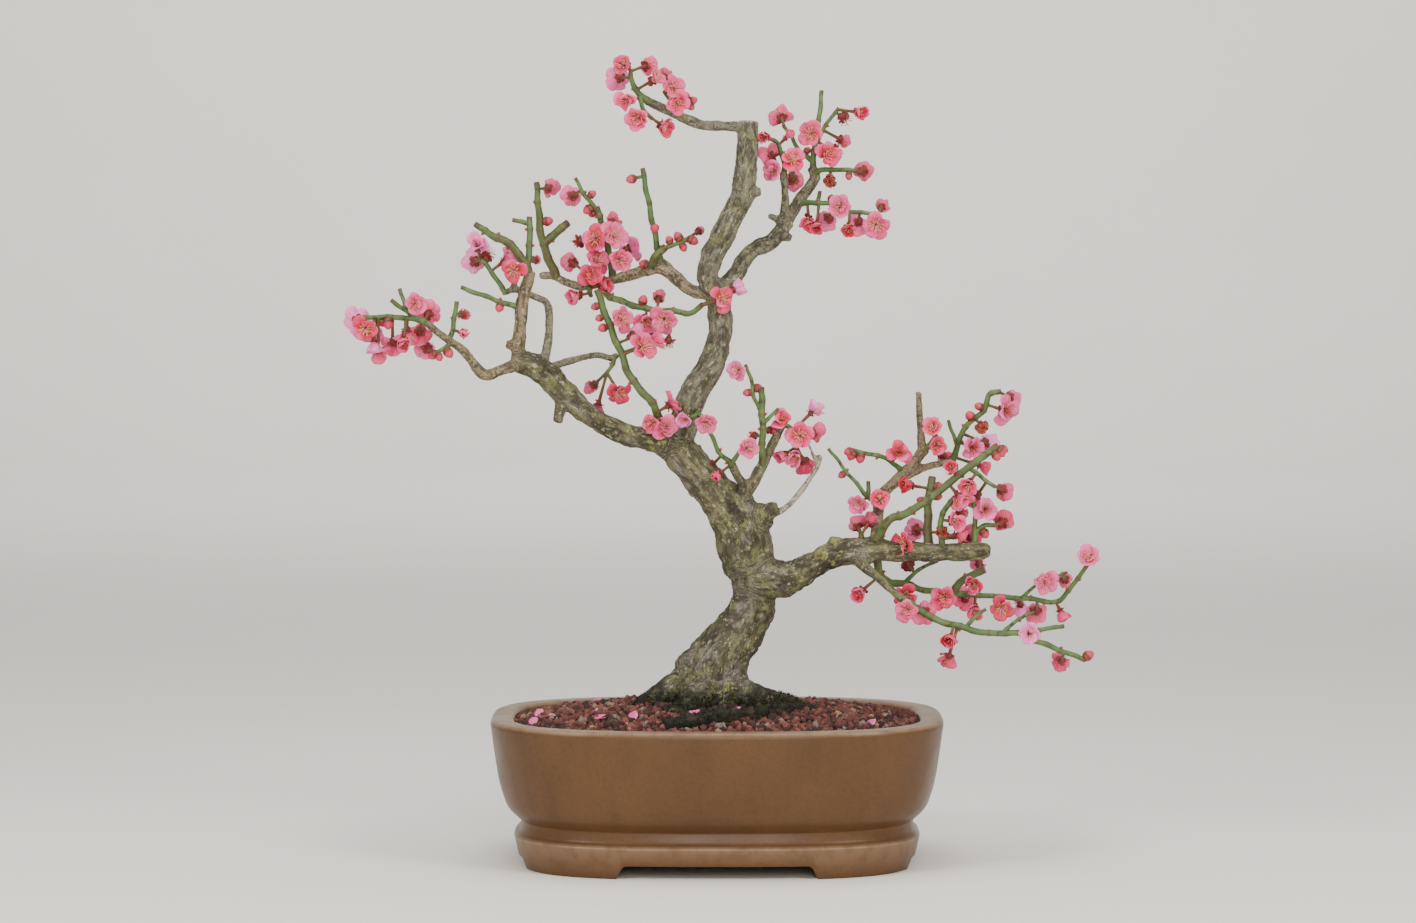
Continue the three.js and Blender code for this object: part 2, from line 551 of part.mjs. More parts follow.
// Wedge-shaped cut through the foot ring, along the depth or along the width
function footGapSolid({ below, above, height }, alongWidth) {
  const shape = new THREE.Shape([
    new THREE.Vector2(-below / 2, -1), new THREE.Vector2(below / 2, -1), new THREE.Vector2(below / 2, 0),
    new THREE.Vector2(above / 2, height), new THREE.Vector2(-above / 2, height), new THREE.Vector2(-below / 2, 0),
  ]);
  const length = 3 * POT_HALF_WIDTH;
  const geometry = new THREE.ExtrudeGeometry(shape, { depth: length, bevelEnabled: false });
  geometry.translate(0, 0, -length / 2);
  geometry.rotateX(Math.PI / 2);
  if (alongWidth) {
    geometry.rotateZ(Math.PI / 2);
  }
  return toSolid(geometry);
}

function drainHoleSolid(x) {
  const geometry = new THREE.CylinderGeometry(DRAIN_HOLE_RADIUS, DRAIN_HOLE_RADIUS, 2 * POT_FLOOR_TOP, DRAIN_HOLE_SIDES);
  geometry.rotateX(Math.PI / 2);
  return toSolid(geometry.translate(x, 0, POT_FLOOR_TOP));
}

function potSolid() {
  return planBody(POT_SECTION)
    .subtract(footGapSolid(FOOT_GAP_FRONT, false))
    .subtract(footGapSolid(FOOT_GAP_SIDE, true))
    .subtract(drainHoleSolid(-DRAIN_HOLE_OFFSET))
    .subtract(drainHoleSolid(DRAIN_HOLE_OFFSET));
}

function screenSolid(x) {
  const middle = POT_FLOOR_TOP + GAP + SCREEN_THICKNESS / 2;
  let screen = boxSolid([SCREEN_SIZE, SCREEN_SIZE, SCREEN_THICKNESS], [x, 0, middle]);
  for (const column of [-1, 1]) {
    for (const row of [-1, 1]) {
      const place = [x + column * SCREEN_PITCH, row * SCREEN_PITCH, middle];
      screen = screen.subtract(boxSolid([SCREEN_OPENING, SCREEN_OPENING, 3 * SCREEN_THICKNESS], place));
    }
  }
  return screen;
}

// Height of the heaped soil at a fraction of the way from the middle to the wall
function moundHeight(fraction) {
  return SOIL_EDGE_HEIGHT + SOIL_MOUND * (1 - fraction ** 2);
}

// How far out a place on the soil lies, as a fraction of the way to the wall
function soilFraction(x, y) {
  const halfDepth = SOIL_HALF_WIDTH - (POT_HALF_WIDTH - POT_HALF_DEPTH);
  const along = Math.abs(x / SOIL_HALF_WIDTH) ** POT_PLAN_POWER;
  const across = Math.abs(y / halfDepth) ** POT_PLAN_POWER;
  return (along + across) ** (1 / POT_PLAN_POWER);
}

// A block whose top is gravel: rings of points, six more in each, where every third stands up
function gravelBlock() {
  const random = randomFrom(SOIL_SEED);
  const positions = [0, 0, moundHeight(0)];
  const ringStart = [0];
  for (let ring = 1; ring <= SOIL_RINGS; ring += 1) {
    ringStart.push(positions.length / 3);
    const fraction = (SOIL_OVERLAP * ring) / SOIL_RINGS;
    for (let i = 0; i < 6 * ring; i += 1) {
      const [x, y] = planPoint(SOIL_HALF_WIDTH * fraction, (2 * Math.PI * i) / (6 * ring));
      const stone = (i + 2 * ring) % 3 === 0 ? GRAVEL_RELIEF : 0;
      positions.push(x, y, moundHeight(fraction) + stone + GRAVEL_ROUGHNESS * (random() - 0.5));
    }
  }
  const triangles = [];
  const pointAt = (ring, side, i) => (ring === 0 ? 0 : ringStart[ring] + ((side * ring + i) % (6 * ring)));
  for (let ring = 1; ring <= SOIL_RINGS; ring += 1) {
    for (let side = 0; side < 6; side += 1) {
      for (let i = 0; i < ring; i += 1) {
        triangles.push(pointAt(ring, side, i), pointAt(ring, side, i + 1), pointAt(ring - 1, side, i));
        if (i > 0) {
          triangles.push(pointAt(ring, side, i), pointAt(ring - 1, side, i), pointAt(ring - 1, side, i - 1));
        }
      }
    }
  }
  const edgeCount = 6 * SOIL_RINGS;
  const edgeStart = ringStart[SOIL_RINGS];
  const footStart = positions.length / 3;
  for (let i = 0; i < edgeCount; i += 1) {
    const place = 3 * (edgeStart + i);
    positions.push(positions[place], positions[place + 1], 0);
  }
  const middle = positions.length / 3;
  positions.push(0, 0, 0);
  for (let i = 0; i < edgeCount; i += 1) {
    const next = (i + 1) % edgeCount;
    triangles.push(footStart + i, footStart + next, edgeStart + next);
    triangles.push(footStart + i, edgeStart + next, edgeStart + i);
    triangles.push(middle, footStart + next, footStart + i);
  }
  return toSolid(indexed(positions, triangles));
}

// A fallen petal: a thin lens lying on the gravel, a little tilted
function fallenPetalSolid([x, y], turn) {
  const petal = new THREE.SphereGeometry(0.5, 4, 2);
  petal.rotateX(Math.PI / 2);
  petal.scale(PETAL_LENGTH, PETAL_WIDTH, PETAL_THICKNESS);
  petal.rotateZ(turn);
  return toSolid(petal.translate(x, y, moundHeight(soilFraction(x, y)) + GRAVEL_RELIEF - PETAL_THICKNESS / 3));
}

// The space inside the pot, clear of its wall and floor, up to above the heaped soil
function potInsideSolid() {
  const wall = POT_SECTION.slice(POT_INSIDE_FROM).map(([r, z]) => [Math.max(0, r - GAP), z]);
  const floor = wall.slice(-2).map(([r, z]) => [r, z + GAP]).reverse();
  const top = SOIL_EDGE_HEIGHT + 2 * SOIL_MOUND;
  return planBody([...floor, ...wall.slice(1, -2).reverse(), [wall[0][0], top], [0, top]]);
}

function soilSolid(woodClear) {
  let soil = gravelBlock().intersect(potInsideSolid());
  const random = randomFrom(SOIL_SEED);
  for (const place of FALLEN_PETALS) {
    soil = soil.add(fallenPetalSolid(place, Math.PI * random()));
  }
  const recess = SCREEN_SIZE + 2 * GAP;
  const recessDepth = 2 * (SCREEN_THICKNESS + 2 * GAP);
  for (const x of [-DRAIN_HOLE_OFFSET, DRAIN_HOLE_OFFSET]) {
    soil = soil.subtract(boxSolid([recess, recess, recessDepth], [x, 0, POT_FLOOR_TOP]));
  }
  return largestBody(soil.subtract(woodClear));
}

// A round limb along its stations, widened all over by grow. Bark relief is a share of its radius.
function limbSolid({ sides, stations }, grow, relief) {
  const points = stations.map(([x, z, depth]) => placeAt(x, z, depth));
  const path = new THREE.CatmullRomCurve3(points);
  const last = stations.length - 1;
  const geometry = new THREE.CylinderGeometry(1, 1, 1, sides, last);
  const position = geometry.attributes.position;
  const depthAxis = new THREE.Vector3(0, 1, 0);
  for (let i = 0; i < position.count; i += 1) {
    const station = Math.round((position.getY(i) + 0.5) * last);
    const angle = Math.atan2(position.getZ(i), position.getX(i));
    const onAxis = Math.hypot(position.getX(i), position.getZ(i)) < 0.5;
    const along = path.getTangent(station / last);
    const side = depthAxis.clone().cross(along).normalize();
    const up = side.clone().cross(along);
    const bark = 1 + relief * Math.sin(3 * angle + 2.1 * station) + 0.6 * relief * Math.sin(5 * angle - 1.3 * station);
    const radius = onAxis ? 0 : (stations[station][3] / 2) * bark + grow;
    const place = points[station].clone();
    place.addScaledVector(side, radius * Math.cos(angle)).addScaledVector(up, radius * Math.sin(angle));
    if (station === 0 || station === last) {
      place.addScaledVector(along, station === 0 ? -grow : grow);
    }
    position.setXYZ(i, place.x, place.y, place.z);
  }
  return toSolid(geometry);
}

function woodSolid(grow) {
  return joinAll(WOOD.map((branch) => limbSolid(branch, grow, BARK_RELIEF)));
}

// A bloom facing +Z with its middle at the origin, and its calyx drawn out to root, where it is
// sunk in the stem. Its rim is sharp, and grow gives it a wall between a front and a back edge.
function bloomGeometry(form, radius, root, grow) {
  const positions = [0, 0, 0.04 * radius + grow, root.x, root.y, root.z];
  const triangles = [];
  const pushEdge = (share, degrees, rise) => {
    const angle = THREE.MathUtils.degToRad(degrees);
    const reach = share * radius + grow;
    const [x, y, z] = [reach * Math.cos(angle), reach * Math.sin(angle), rise * radius];
    positions.push(x, y, z + grow, x, y, z - grow);
    const front = positions.length / 3 - 2;
    return { front, back: front + 1 };
  };
  const rim = [];
  for (let petal = 0; petal < form.petals; petal += 1) {
    const middle = (360 / form.petals) * petal;
    rim.push(
      pushEdge(form.valley, middle - 180 / form.petals, form.valleyRise),
      pushEdge(form.shoulder, middle - form.half, form.rise),
      pushEdge(form.shoulder, middle + form.half, form.rise),
    );
  }
  const edgeAt = (i) => rim[i % rim.length];
  for (let i = 0; i < rim.length; i += 1) {
    const [here, next] = [edgeAt(i), edgeAt(i + 1)];
    triangles.push(0, here.front, next.front);
    triangles.push(here.back, next.back, next.front, here.back, next.front, here.front);
  }
  for (let i = 0; i < rim.length; i += 3) {
    const [valley, left, right, next] = [i, i + 1, i + 2, i + 3].map((k) => edgeAt(k).back);
    triangles.push(left, valley, right, right, valley, next, 1, next, valley);
  }
  return indexed(positions, triangles);
}

// Nearest place on a spray's stems to a place in the picture plane
function nearestOnStems(stems, x, z) {
  let best = null;
  for (const stations of stems) {
    for (let i = 1; i < stations.length; i += 1) {
      const [x0, z0, depth0, width0] = stations[i - 1];
      const [x1, z1, depth1, width1] = stations[i];
      const [dx, dz] = [x1 - x0, z1 - z0];
      const length = Math.hypot(dx, dz);
      const mostShare = i === stations.length - 1 ? 1 - Math.min(0.5, STEM_END_INSET / length) : 1;
      const share = THREE.MathUtils.clamp(((x - x0) * dx + (z - z0) * dz) / length ** 2, 0, mostShare);
      const [nearX, nearZ] = [x0 + share * dx, z0 + share * dz];
      const distance = Math.hypot(x - nearX, z - nearZ);
      if (best === null || distance < best.distance) {
        const depth = depth0 + share * (depth1 - depth0);
        best = { distance, depth, radius: (width0 + share * (width1 - width0)) / 2, base: placeAt(nearX, nearZ, depth) };
      }
    }
  }
  return best;
}

function placed(geometry, centre, facing, spin) {
  const turn = new THREE.Quaternion().setFromUnitVectors(new THREE.Vector3(0, 0, 1), facing);
  const matrix = new THREE.Matrix4().compose(centre, turn, new THREE.Vector3(1, 1, 1));
  return toSolid(geometry.rotateZ(spin).applyMatrix4(matrix));
}

// Of a few drawn places forward of the stem or behind it, the one furthest from other blooms
function roomiestForward(x, z, depth, others, random) {
  const [low, high] = FORWARD_RANGE;
  let best = { room: -1, forward: 0 };
  for (let i = 0; i < FORWARD_TRIES; i += 1) {
    const forward = low + (high - low) * random();
    const place = placeAt(x, z, depth - forward);
    const room = Math.min(1000, ...others.map((other) => other.distanceTo(place)));
    if (room > best.room) {
      best = { room, forward };
    }
  }
  return best.forward;
}

// A bloom on the nearest stem, with a stalk where it stands well away from it
function bloomSolids(stems, form, [x, z, forwardGiven], others, random, grow) {
  const near = nearestOnStems(stems, x, z);
  const forward = forwardGiven ?? roomiestForward(x, z, near.depth, others, random);
  const radius = (form.size / 2) * (1 + SIZE_VARIATION * (2 * random() - 1));
  const spin = 2 * Math.PI * random();
  const centre = placeAt(x, z, near.depth - forward);
  const away = centre.clone().sub(near.base);
  const clear = near.radius + LEAST_REACH * radius;
  if (away.length() < clear) {
    if (away.length() < 1) {
      away.set(0, forward < 0 ? 1 : -1, 0);
    }
    centre.copy(near.base).addScaledVector(away.normalize(), clear);
  }
  const offset = centre.clone().sub(near.base);
  others.push(centre);
  const facing = offset.clone().add(new THREE.Vector3(0, -FORWARD_LEAN * forward, 0)).normalize();
  const depth = Math.min(offset.length() + ROOT_SHARE * near.radius, CALYX_REACH * radius);
  const root = centre.clone().addScaledVector(offset.clone().normalize(), -depth);
  const turn = new THREE.Quaternion().setFromUnitVectors(new THREE.Vector3(0, 0, 1), facing);
  const localRoot = root.clone().sub(centre).applyQuaternion(turn.clone().invert());
  localRoot.applyAxisAngle(new THREE.Vector3(0, 0, 1), -spin);
  const solids = [placed(bloomGeometry(form, radius, localRoot, grow), centre, facing, spin)];
  if (offset.length() > depth) {
    solids.push(stalkSolid(near.base, centre, grow));
  }
  return solids;
}

function stalkSolid(from, to, grow) {
  const length = from.distanceTo(to) * STALK_SHARE;
  const radius = STALK_DIAMETER / 2 + grow;
  const stalk = new THREE.CylinderGeometry(radius, radius, length, STALK_SIDES);
  stalk.rotateX(Math.PI / 2).translate(0, 0, length / 2);
  return placed(stalk, from, to.clone().sub(from).normalize(), 0);
}

function budSolid(stems, [x, z], random, grow) {
  const near = nearestOnStems(stems, x, z);
  const away = placeAt(x, z, near.depth + 4 * (random() - 0.5)).sub(near.base).normalize();
  const radius = BUD_SIZE / 2 + grow;
  const bud = new THREE.SphereGeometry(radius, BUD_SIDES, BUD_RINGS);
  bud.rotateX(Math.PI / 2).scale(1, 1, BUD_STRETCH);
  return placed(bud, near.base.clone().addScaledVector(away, near.radius + BUD_SEAT), away, 0);
}

function spraySolid(spray, seed, grow) {
  const random = randomFrom(seed);
  const others = [];
  const solids = spray.stems.map((stations) => limbSolid({ sides: TWIG_SIDES, stations }, grow, 0));
  for (const [kind, form] of Object.entries(FORMS)) {
    for (const bloom of spray[kind] ?? []) {
      solids.push(...bloomSolids(spray.stems, form, bloom, others, random, grow));
    }
  }
  for (const bud of spray.buds ?? []) {
    solids.push(budSolid(spray.stems, bud, random, grow));
  }
  return joinAll(solids);
}

// Each spray is cut clear of the wood and of the sprays before it
function spraySolids(woodClear) {
  const done = [];
  for (const [name, spray] of Object.entries(SPRAYS)) {
    const seed = SPRAY_SEED + done.length;
    let solid = spraySolid(spray, seed, 0).subtract(woodClear);
    for (const earlier of done) {
      solid = solid.subtract(earlier.clear);
    }
    done.push({ name: `spray_${name}`, solid: largestBody(solid), clear: spraySolid(spray, seed, GAP) });
  }
  return done;
}

function pieceMesh(name, solid, [color, roughness]) {
  const mesh = new THREE.Mesh(toGeometry(solid), new THREE.MeshStandardMaterial({ color, roughness, metalness: 0 }));
  mesh.name = name;
  return mesh;
}

function buildBonsai() {
  const woodClear = woodSolid(GAP);
  const group = new THREE.Group();
  group.add(pieceMesh('pot', potSolid(), COLOURS.glaze));
  group.add(pieceMesh('drain_screen_left', screenSolid(-DRAIN_HOLE_OFFSET), COLOURS.screen));
  group.add(pieceMesh('drain_screen_right', screenSolid(DRAIN_HOLE_OFFSET), COLOURS.screen));
  group.add(pieceMesh('soil', soilSolid(woodClear), COLOURS.gravel));
  group.add(pieceMesh('trunk', woodSolid(0), COLOURS.bark));
  for (const { name, solid } of spraySolids(woodClear)) {
    group.add(pieceMesh(name, solid, COLOURS.blossom));
  }
  const box = new THREE.Box3().setFromObject(group);
  const middle = box.getCenter(new THREE.Vector3());
  group.position.set(-middle.x, -middle.y, -box.min.z);
  return group;
}

export default buildBonsai();
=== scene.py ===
"""The looks of a japanese apricot bonsai in flower, in an oval brown glazed pot.

Meshes are in metres, +Z up, with the front of the pot towards -Y. The tables hold millimetres
seen in the upright plane through the middle of the pot, with depth counted away from the viewer.
"""

import json
import logging
import math
from dataclasses import dataclass, field, replace
from enum import Enum
from functools import partial
from typing import Callable, Sequence

import bmesh
import bpy
import numpy as np
from mathutils import Matrix, Quaternion, Vector, noise

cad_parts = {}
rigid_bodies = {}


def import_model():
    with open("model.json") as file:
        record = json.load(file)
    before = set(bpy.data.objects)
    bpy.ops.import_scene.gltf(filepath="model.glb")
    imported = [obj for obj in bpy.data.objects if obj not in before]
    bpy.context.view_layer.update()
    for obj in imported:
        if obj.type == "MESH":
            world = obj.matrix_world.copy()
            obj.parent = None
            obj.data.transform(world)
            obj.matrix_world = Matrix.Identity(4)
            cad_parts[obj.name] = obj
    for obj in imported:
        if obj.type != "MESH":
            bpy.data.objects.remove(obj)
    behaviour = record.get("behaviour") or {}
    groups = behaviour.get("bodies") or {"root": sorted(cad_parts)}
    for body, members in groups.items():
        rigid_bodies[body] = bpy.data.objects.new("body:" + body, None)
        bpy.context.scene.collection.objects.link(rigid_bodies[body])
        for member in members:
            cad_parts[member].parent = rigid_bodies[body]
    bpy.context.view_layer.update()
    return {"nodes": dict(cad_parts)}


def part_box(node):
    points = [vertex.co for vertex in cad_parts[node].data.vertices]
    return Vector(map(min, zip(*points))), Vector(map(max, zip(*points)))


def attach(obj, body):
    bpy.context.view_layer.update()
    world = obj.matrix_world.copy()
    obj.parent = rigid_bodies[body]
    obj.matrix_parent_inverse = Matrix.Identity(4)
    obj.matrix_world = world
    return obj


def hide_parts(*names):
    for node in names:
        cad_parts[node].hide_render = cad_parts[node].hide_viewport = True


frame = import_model()

LOG = logging.getLogger("bonsai")
BODY = "root"
MM = 0.001

# The pot gives the place of everything: the middle of its underside
POT_LOW, POT_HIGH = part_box("pot")
ORIGIN = Vector(((POT_LOW.x + POT_HIGH.x) / 2, (POT_LOW.y + POT_HIGH.y) / 2, POT_LOW.z))

# The eye in front of the pot, from which the tables are laid out
EYE_X = -6.3
EYE_Z = 429.0
EYE_DISTANCE = 2753.0
EYE_PITCH_DEGREES = 3.08
LENS_MM = 100.0
SENSOR_MM = 36.0

SPRAY_SEED = 7001
FORWARD_RANGE = (-14.0, 13.0)
FORWARD_TRIES = 16
FORWARD_LEAN = 0.8
FAR_AWAY = 1000.0
SPIN_RANGE = 6.28
SIZE_VARIATION = 0.08
LEAST_REACH = 0.6
STEM_END_INSET = 1.6
BUD_SIZE = 5.6
BUD_SEAT = 2.2
BUD_DEPTH_RANGE = 4.0
NODE_PITCH = 190

Colour = tuple[float, float, float, float]
Span = tuple[float, float]
Place = tuple[float, ...]
Stem = Sequence[Place]
Pairs = list[tuple[int, int]]
Faces = list[tuple[int, ...]]
Values = dict[str, np.ndarray]
Generator = np.random.Generator
Fill = Callable[..., None]
Node = bpy.types.Node
Socket = bpy.types.NodeSocket
Tree = bpy.types.NodeTree
Mesh = bpy.types.Mesh
Piece = bpy.types.Object
Forms = bpy.types.Collection
Material = bpy.types.Material


def srgb(red: int, green: int, blue: int) -> Colour:
    """Give the linear colour of a screen colour, each share from 0 to 255."""
    shares = [value / 255 for value in (red, green, blue)]
    return (*(v / 12.92 if v <= 0.04045 else ((v + 0.055) / 1.055) ** 2.4 for v in shares), 1.0)


class Bark(Enum):
    """How the bark of a limb looks."""

    OLD = "old"
    GREY = "grey"
    PALE = "pale"
    TAN = "tan"
    DEAD = "dead"


class Kind(Enum):
    """The stages of a bloom, with the width of each in millimetres."""

    OPEN = 21.0
    CUP = 17.5
    TIGHT = 13.0
    SPENT = 12.0


class Region(Enum):
    """The parts of the tree that carry sprays, each dressed as a group."""

    FAR_LEFT = "far_left"
    LEFT = "left"
    CENTRE = "centre"
    CROWN = "crown"
    RISER = "riser"
    LIMB = "limb"


@dataclass(frozen=True)
class Limb:
    """A limb of the old wood: x, z, depth and diameter at each station."""

    stations: Stem
    bark: Bark = Bark.OLD


@dataclass(frozen=True)
class Spray:
    """Shoots with their blooms and buds, in millimetres.

    A bloom is x, z and, where it matters, how far it stands forward of its stem.
    """

    region: Region
    stems: Sequence[Stem]
    open: Sequence[Place] = ()
    cup: Sequence[Place] = ()
    tight: Sequence[Place] = ()
    spent: Sequence[Place] = ()
    buds: Sequence[Place] = ()


class Graph:
    """A node tree under construction, with its nodes laid out from left to right."""

    def __init__(self, tree: Tree) -> None:
        """Start on a tree."""
        self.tree = tree
        self.column = 0

    def feed(self, socket: Socket, value: object) -> None:
        """Link a socket to an output, or give it a value of its own.

        Args:
            socket: The socket.
            value: The output or the value.
        """
        if isinstance(value, Socket):
            self.tree.links.new(value, socket)
        else:
            socket.default_value = value

    def node(self, kind: str, inputs: dict | None = None, **settings: object) -> Node:
        """Add a node.

        Args:
            kind: Its type in Blender's words.
            inputs: What feeds each input, by name or index.
            settings: Its other properties.

        Returns:
            The new node.
        """
        node = self.tree.nodes.new(kind)
        node.location = (NODE_PITCH * self.column, 0)
        self.column += 1
        for name, value in settings.items():
            setattr(node, name, value)
        for key, value in (inputs or {}).items():
            self.feed(node.inputs[key], value)
        return node

    def maths(self, operation: str, first: object, second: object = 0.0) -> Socket:
        """Work out one value from two."""
        return self.node("ShaderNodeMath", {0: first, 1: second}, operation=operation).outputs[0]

    def times(self, first: object, second: object) -> Socket:
        """Multiply two values."""
        return self.maths("MULTIPLY", first, second)

    def vector_maths(self, operation: str, first: object, second: object) -> Socket:
        """Work out one vector from two."""
        return self.node("ShaderNodeVectorMath", {0: first, 1: second}, operation=operation).outputs[0]

    def scaled(self, vector: object, factor: object) -> Socket:
        """Give a vector made longer by a factor."""
        return self.node("ShaderNodeVectorMath", {0: vector, "Scale": factor}, operation="SCALE").outputs[0]

    def mix(self, share: object, first: object, second: object) -> Socket:
        """Mix two colours.

        Args:
            share: The share of the second.
            first: The first colour.
            second: The second colour.

        Returns:
            The mixed colour.
        """
        node = self.node("ShaderNodeMix", data_type="RGBA", clamp_factor=True)
        self.feed(node.inputs[0], share)
        self.feed(node.inputs[6], first)
        self.feed(node.inputs[7], second)
        return node.outputs[2]

    def window(self, value: object, low: object, high: object) -> Socket:
        """Give 0 below low, 1 above high and a smooth climb between them."""
        ends = {0: value, 1: low, 2: high, 3: 0.0, 4: 1.0}
        return self.node("ShaderNodeMapRange", ends, interpolation_type="SMOOTHSTEP").outputs[0]

    def noise(self, vector: object, size: object, detail: float = 3.0, **more: object) -> Socket:
        """Give noise.

        Args:
            vector: Where it is read.
            size: The size of its features, in the vector's own unit.
            detail: How many finer layers it has.
            more: Its fourth coordinate, W, where it has one.

        Returns:
            The noise, from 0 to 1.
        """
        scale = 1 / size if isinstance(size, float) else self.maths("DIVIDE", 1.0, size)
        inputs = {"Vector": vector, "Scale": scale, "Detail": detail, **more}
        return self.node("ShaderNodeTexNoise", inputs, noise_dimensions="4D" if more else "3D").outputs[0]

    def attribute(self, name: str, sort: str = "FLOAT") -> Socket:
        """Give what is stored on the mesh.

        Args:
            name: The name it is stored under.
            sort: Its sort in Blender's words.

        Returns:
            The value or the vector.
        """
        if self.tree.type == "SHADER":
            side = "Vector" if sort == "FLOAT_VECTOR" else "Fac"
            return self.node("ShaderNodeAttribute", attribute_name=name).outputs[side]
        return self.node("GeometryNodeInputNamedAttribute", {"Name": name}, data_type=sort).outputs[0]

    def grain(self, size: object, stretch: float, detail: float = 3.0) -> Socket:
        """Give noise drawn out along a limb, from where the point lies round it and how far it has run."""
        run = self.times(self.attribute("run"), 1 / stretch)
        return self.noise(self.attribute("around", "FLOAT_VECTOR"), size, detail, W=run)


class Skin(Graph):
    """A material's nodes under construction, laid on in coats over the object's own coordinates."""

    def __init__(self, tree: Tree) -> None:
        """Start on a material's tree.

        Args:
            tree: The tree.
        """
        super().__init__(tree)
        self.place = self.node("ShaderNodeTexCoord").outputs["Object"]
        self.colour: object = None

    def coat(self, colour: object, mask: object = None, strength: float = 1.0) -> None:
        """Lay on a colour.

        Args:
            colour: The colour, or an output that gives it.
            mask: Where it lies, as an output or the name of a value on the mesh; everywhere if not given.
            strength: How well it covers there.
        """
        if mask is None:
            self.colour = colour
            return
        share = self.attribute(mask) if isinstance(mask, str) else mask
        share = share if strength == 1.0 else self.times(share, strength)
        self.colour = self.mix(share, self.colour, colour)

    def blotches(self, size: float, low: float, high: float, place: object = None) -> Socket:
        """Give a mask of blotches.

        Args:
            size: Their size in metres.
            low: The noise below which there is none.
            high: The noise above which the mask is full.
            place: Where the noise is read, if not at the object's own coordinates.

        Returns:
            The mask.
        """
        inputs = {"Place": self.place if place is None else place, "Size": size, "Low": low, "High": high}
        return self.node("ShaderNodeGroup", inputs, node_tree=GROUPS["mottle"]).outputs["Mask"]


SOCKETS = {
    "geometry": "NodeSocketGeometry",
    "value": "NodeSocketFloat",
    "whole": "NodeSocketInt",
    "vector": "NodeSocketVector",
    "material": "NodeSocketMaterial",
    "collection": "NodeSocketCollection",
}


class Template(Graph):
    """A node tree with named inputs and outputs, ready to be filled."""

    def __init__(self, name: str, kind: str, inputs: dict[str, str], outputs: dict[str, str]) -> None:
        """Make an empty tree.

        Args:
            name: The tree's name.
            kind: GeometryNodeTree or ShaderNodeTree.
            inputs: The sort of each named input.
            outputs: The sort of each named output.
        """
        super().__init__(bpy.data.node_groups.new(name, kind))
        for side, sockets in (("INPUT", inputs), ("OUTPUT", outputs)):
            for label, sort in sockets.items():
                self.tree.interface.new_socket(label, in_out=side, socket_type=SOCKETS[sort])
        self.inputs = self.node("NodeGroupInput")
        self.outputs = self.node("NodeGroupOutput")

    @classmethod
    def shape(cls, name: str, inputs: dict[str, str]) -> "Template":
        """Make an empty geometry tree, which also takes its geometry and its material."""
        inputs = {"Geometry": "geometry", **inputs, "Material": "material"}
        return cls(name, "GeometryNodeTree", inputs, {"Geometry": "geometry"})

    def given(self, label: str) -> Socket:
        """Give the value that comes in under a name."""
        return self.inputs.outputs[label]

    def put_out(self, label: str, value: Socket) -> Tree:
        """Send a value out under a name, and give the tree."""
        self.feed(self.outputs.inputs[label], value)
        return self.tree

    def forms(self) -> Socket:
        """Give the forms of the collection that comes in, each one apart."""
        inputs = {"Collection": self.given("Forms"), "Separate Children": True, "Reset Children": True}
        return self.node("GeometryNodeCollectionInfo", inputs).outputs[0]

    def set_out(self, points: Socket, variant: Socket, turn: Socket, size: Socket) -> Socket:
        """Set out forms.

        Args:
            points: Where each stands.
            variant: Which of the forms it is.
            turn: How it is turned.
            size: Its size.

        Returns:
            The forms in their places.
        """
        inputs = {"Points": points, "Instance": self.forms(), "Pick Instance": True}
        inputs |= {"Instance Index": variant, "Rotation": turn, "Scale": size}
        return self.node("GeometryNodeInstanceOnPoints", inputs).outputs[0]

    def pushed(self, geometry: Socket, reach: Socket) -> Socket:
        """Move the points of a geometry out along their normals.

        Args:
            geometry: The geometry.
            reach: How far each is moved.

        Returns:
            The moved geometry.
        """
        normal = self.node("GeometryNodeInputNormal").outputs[0]
        inputs = {"Geometry": geometry, "Offset": self.scaled(normal, reach)}
        return self.node("GeometryNodeSetPosition", inputs).outputs[0]

    def stored(self, geometry: Socket, name: str, value: Socket, domain: str) -> Socket:
        """Store a value on a geometry.

        Args:
            geometry: The geometry.
            name: The name to store it under.
            value: The value.
            domain: Whether each point or each instance has one, in Blender's words.

        Returns:
            The geometry with the value.
        """
        inputs = {"Geometry": geometry, "Name": name, "Value": value}
        kept = self.node("GeometryNodeStoreNamedAttribute", inputs, data_type="FLOAT", domain=domain)
        return kept.outputs[0]

    def chance(self, low: object, high: object, seed: Socket) -> Socket:
        """Give each thing a random value between two."""
        return self.node("FunctionNodeRandomValue", {2: low, 3: high, 8: seed}).outputs[1]

    def end_dressed(self, geometry: Socket, smooth: bool) -> Tree:
        """Close a geometry tree: plain mesh, shading and the material that comes in.

        Args:
            geometry: What the tree has made.
            smooth: Whether it is shaded smooth.

        Returns:
            The tree.
        """
        real = self.node("GeometryNodeRealizeInstances", {"Geometry": geometry}).outputs[0]
        shaded = self.node("GeometryNodeSetShadeSmooth", {0: real, 2: smooth}).outputs[0]
        inputs = {"Geometry": shaded, "Material": self.given("Material")}
        return self.put_out("Geometry", self.node("GeometryNodeSetMaterial", inputs).outputs[0])


def mottle_group() -> Tree:
    """Build the shader group for blotches: noise cut to a soft mask.

    Returns:
        The tree.
    """
    inputs = {"Place": "vector", "Size": "value", "Low": "value", "High": "value"}
    graph = Template("mottle", "ShaderNodeTree", inputs, {"Mask": "value"})
    given = graph.given
    value = graph.noise(given("Place"), given("Size"), 4.0)
    return graph.put_out("Mask", graph.window(value, given("Low"), given("High")))


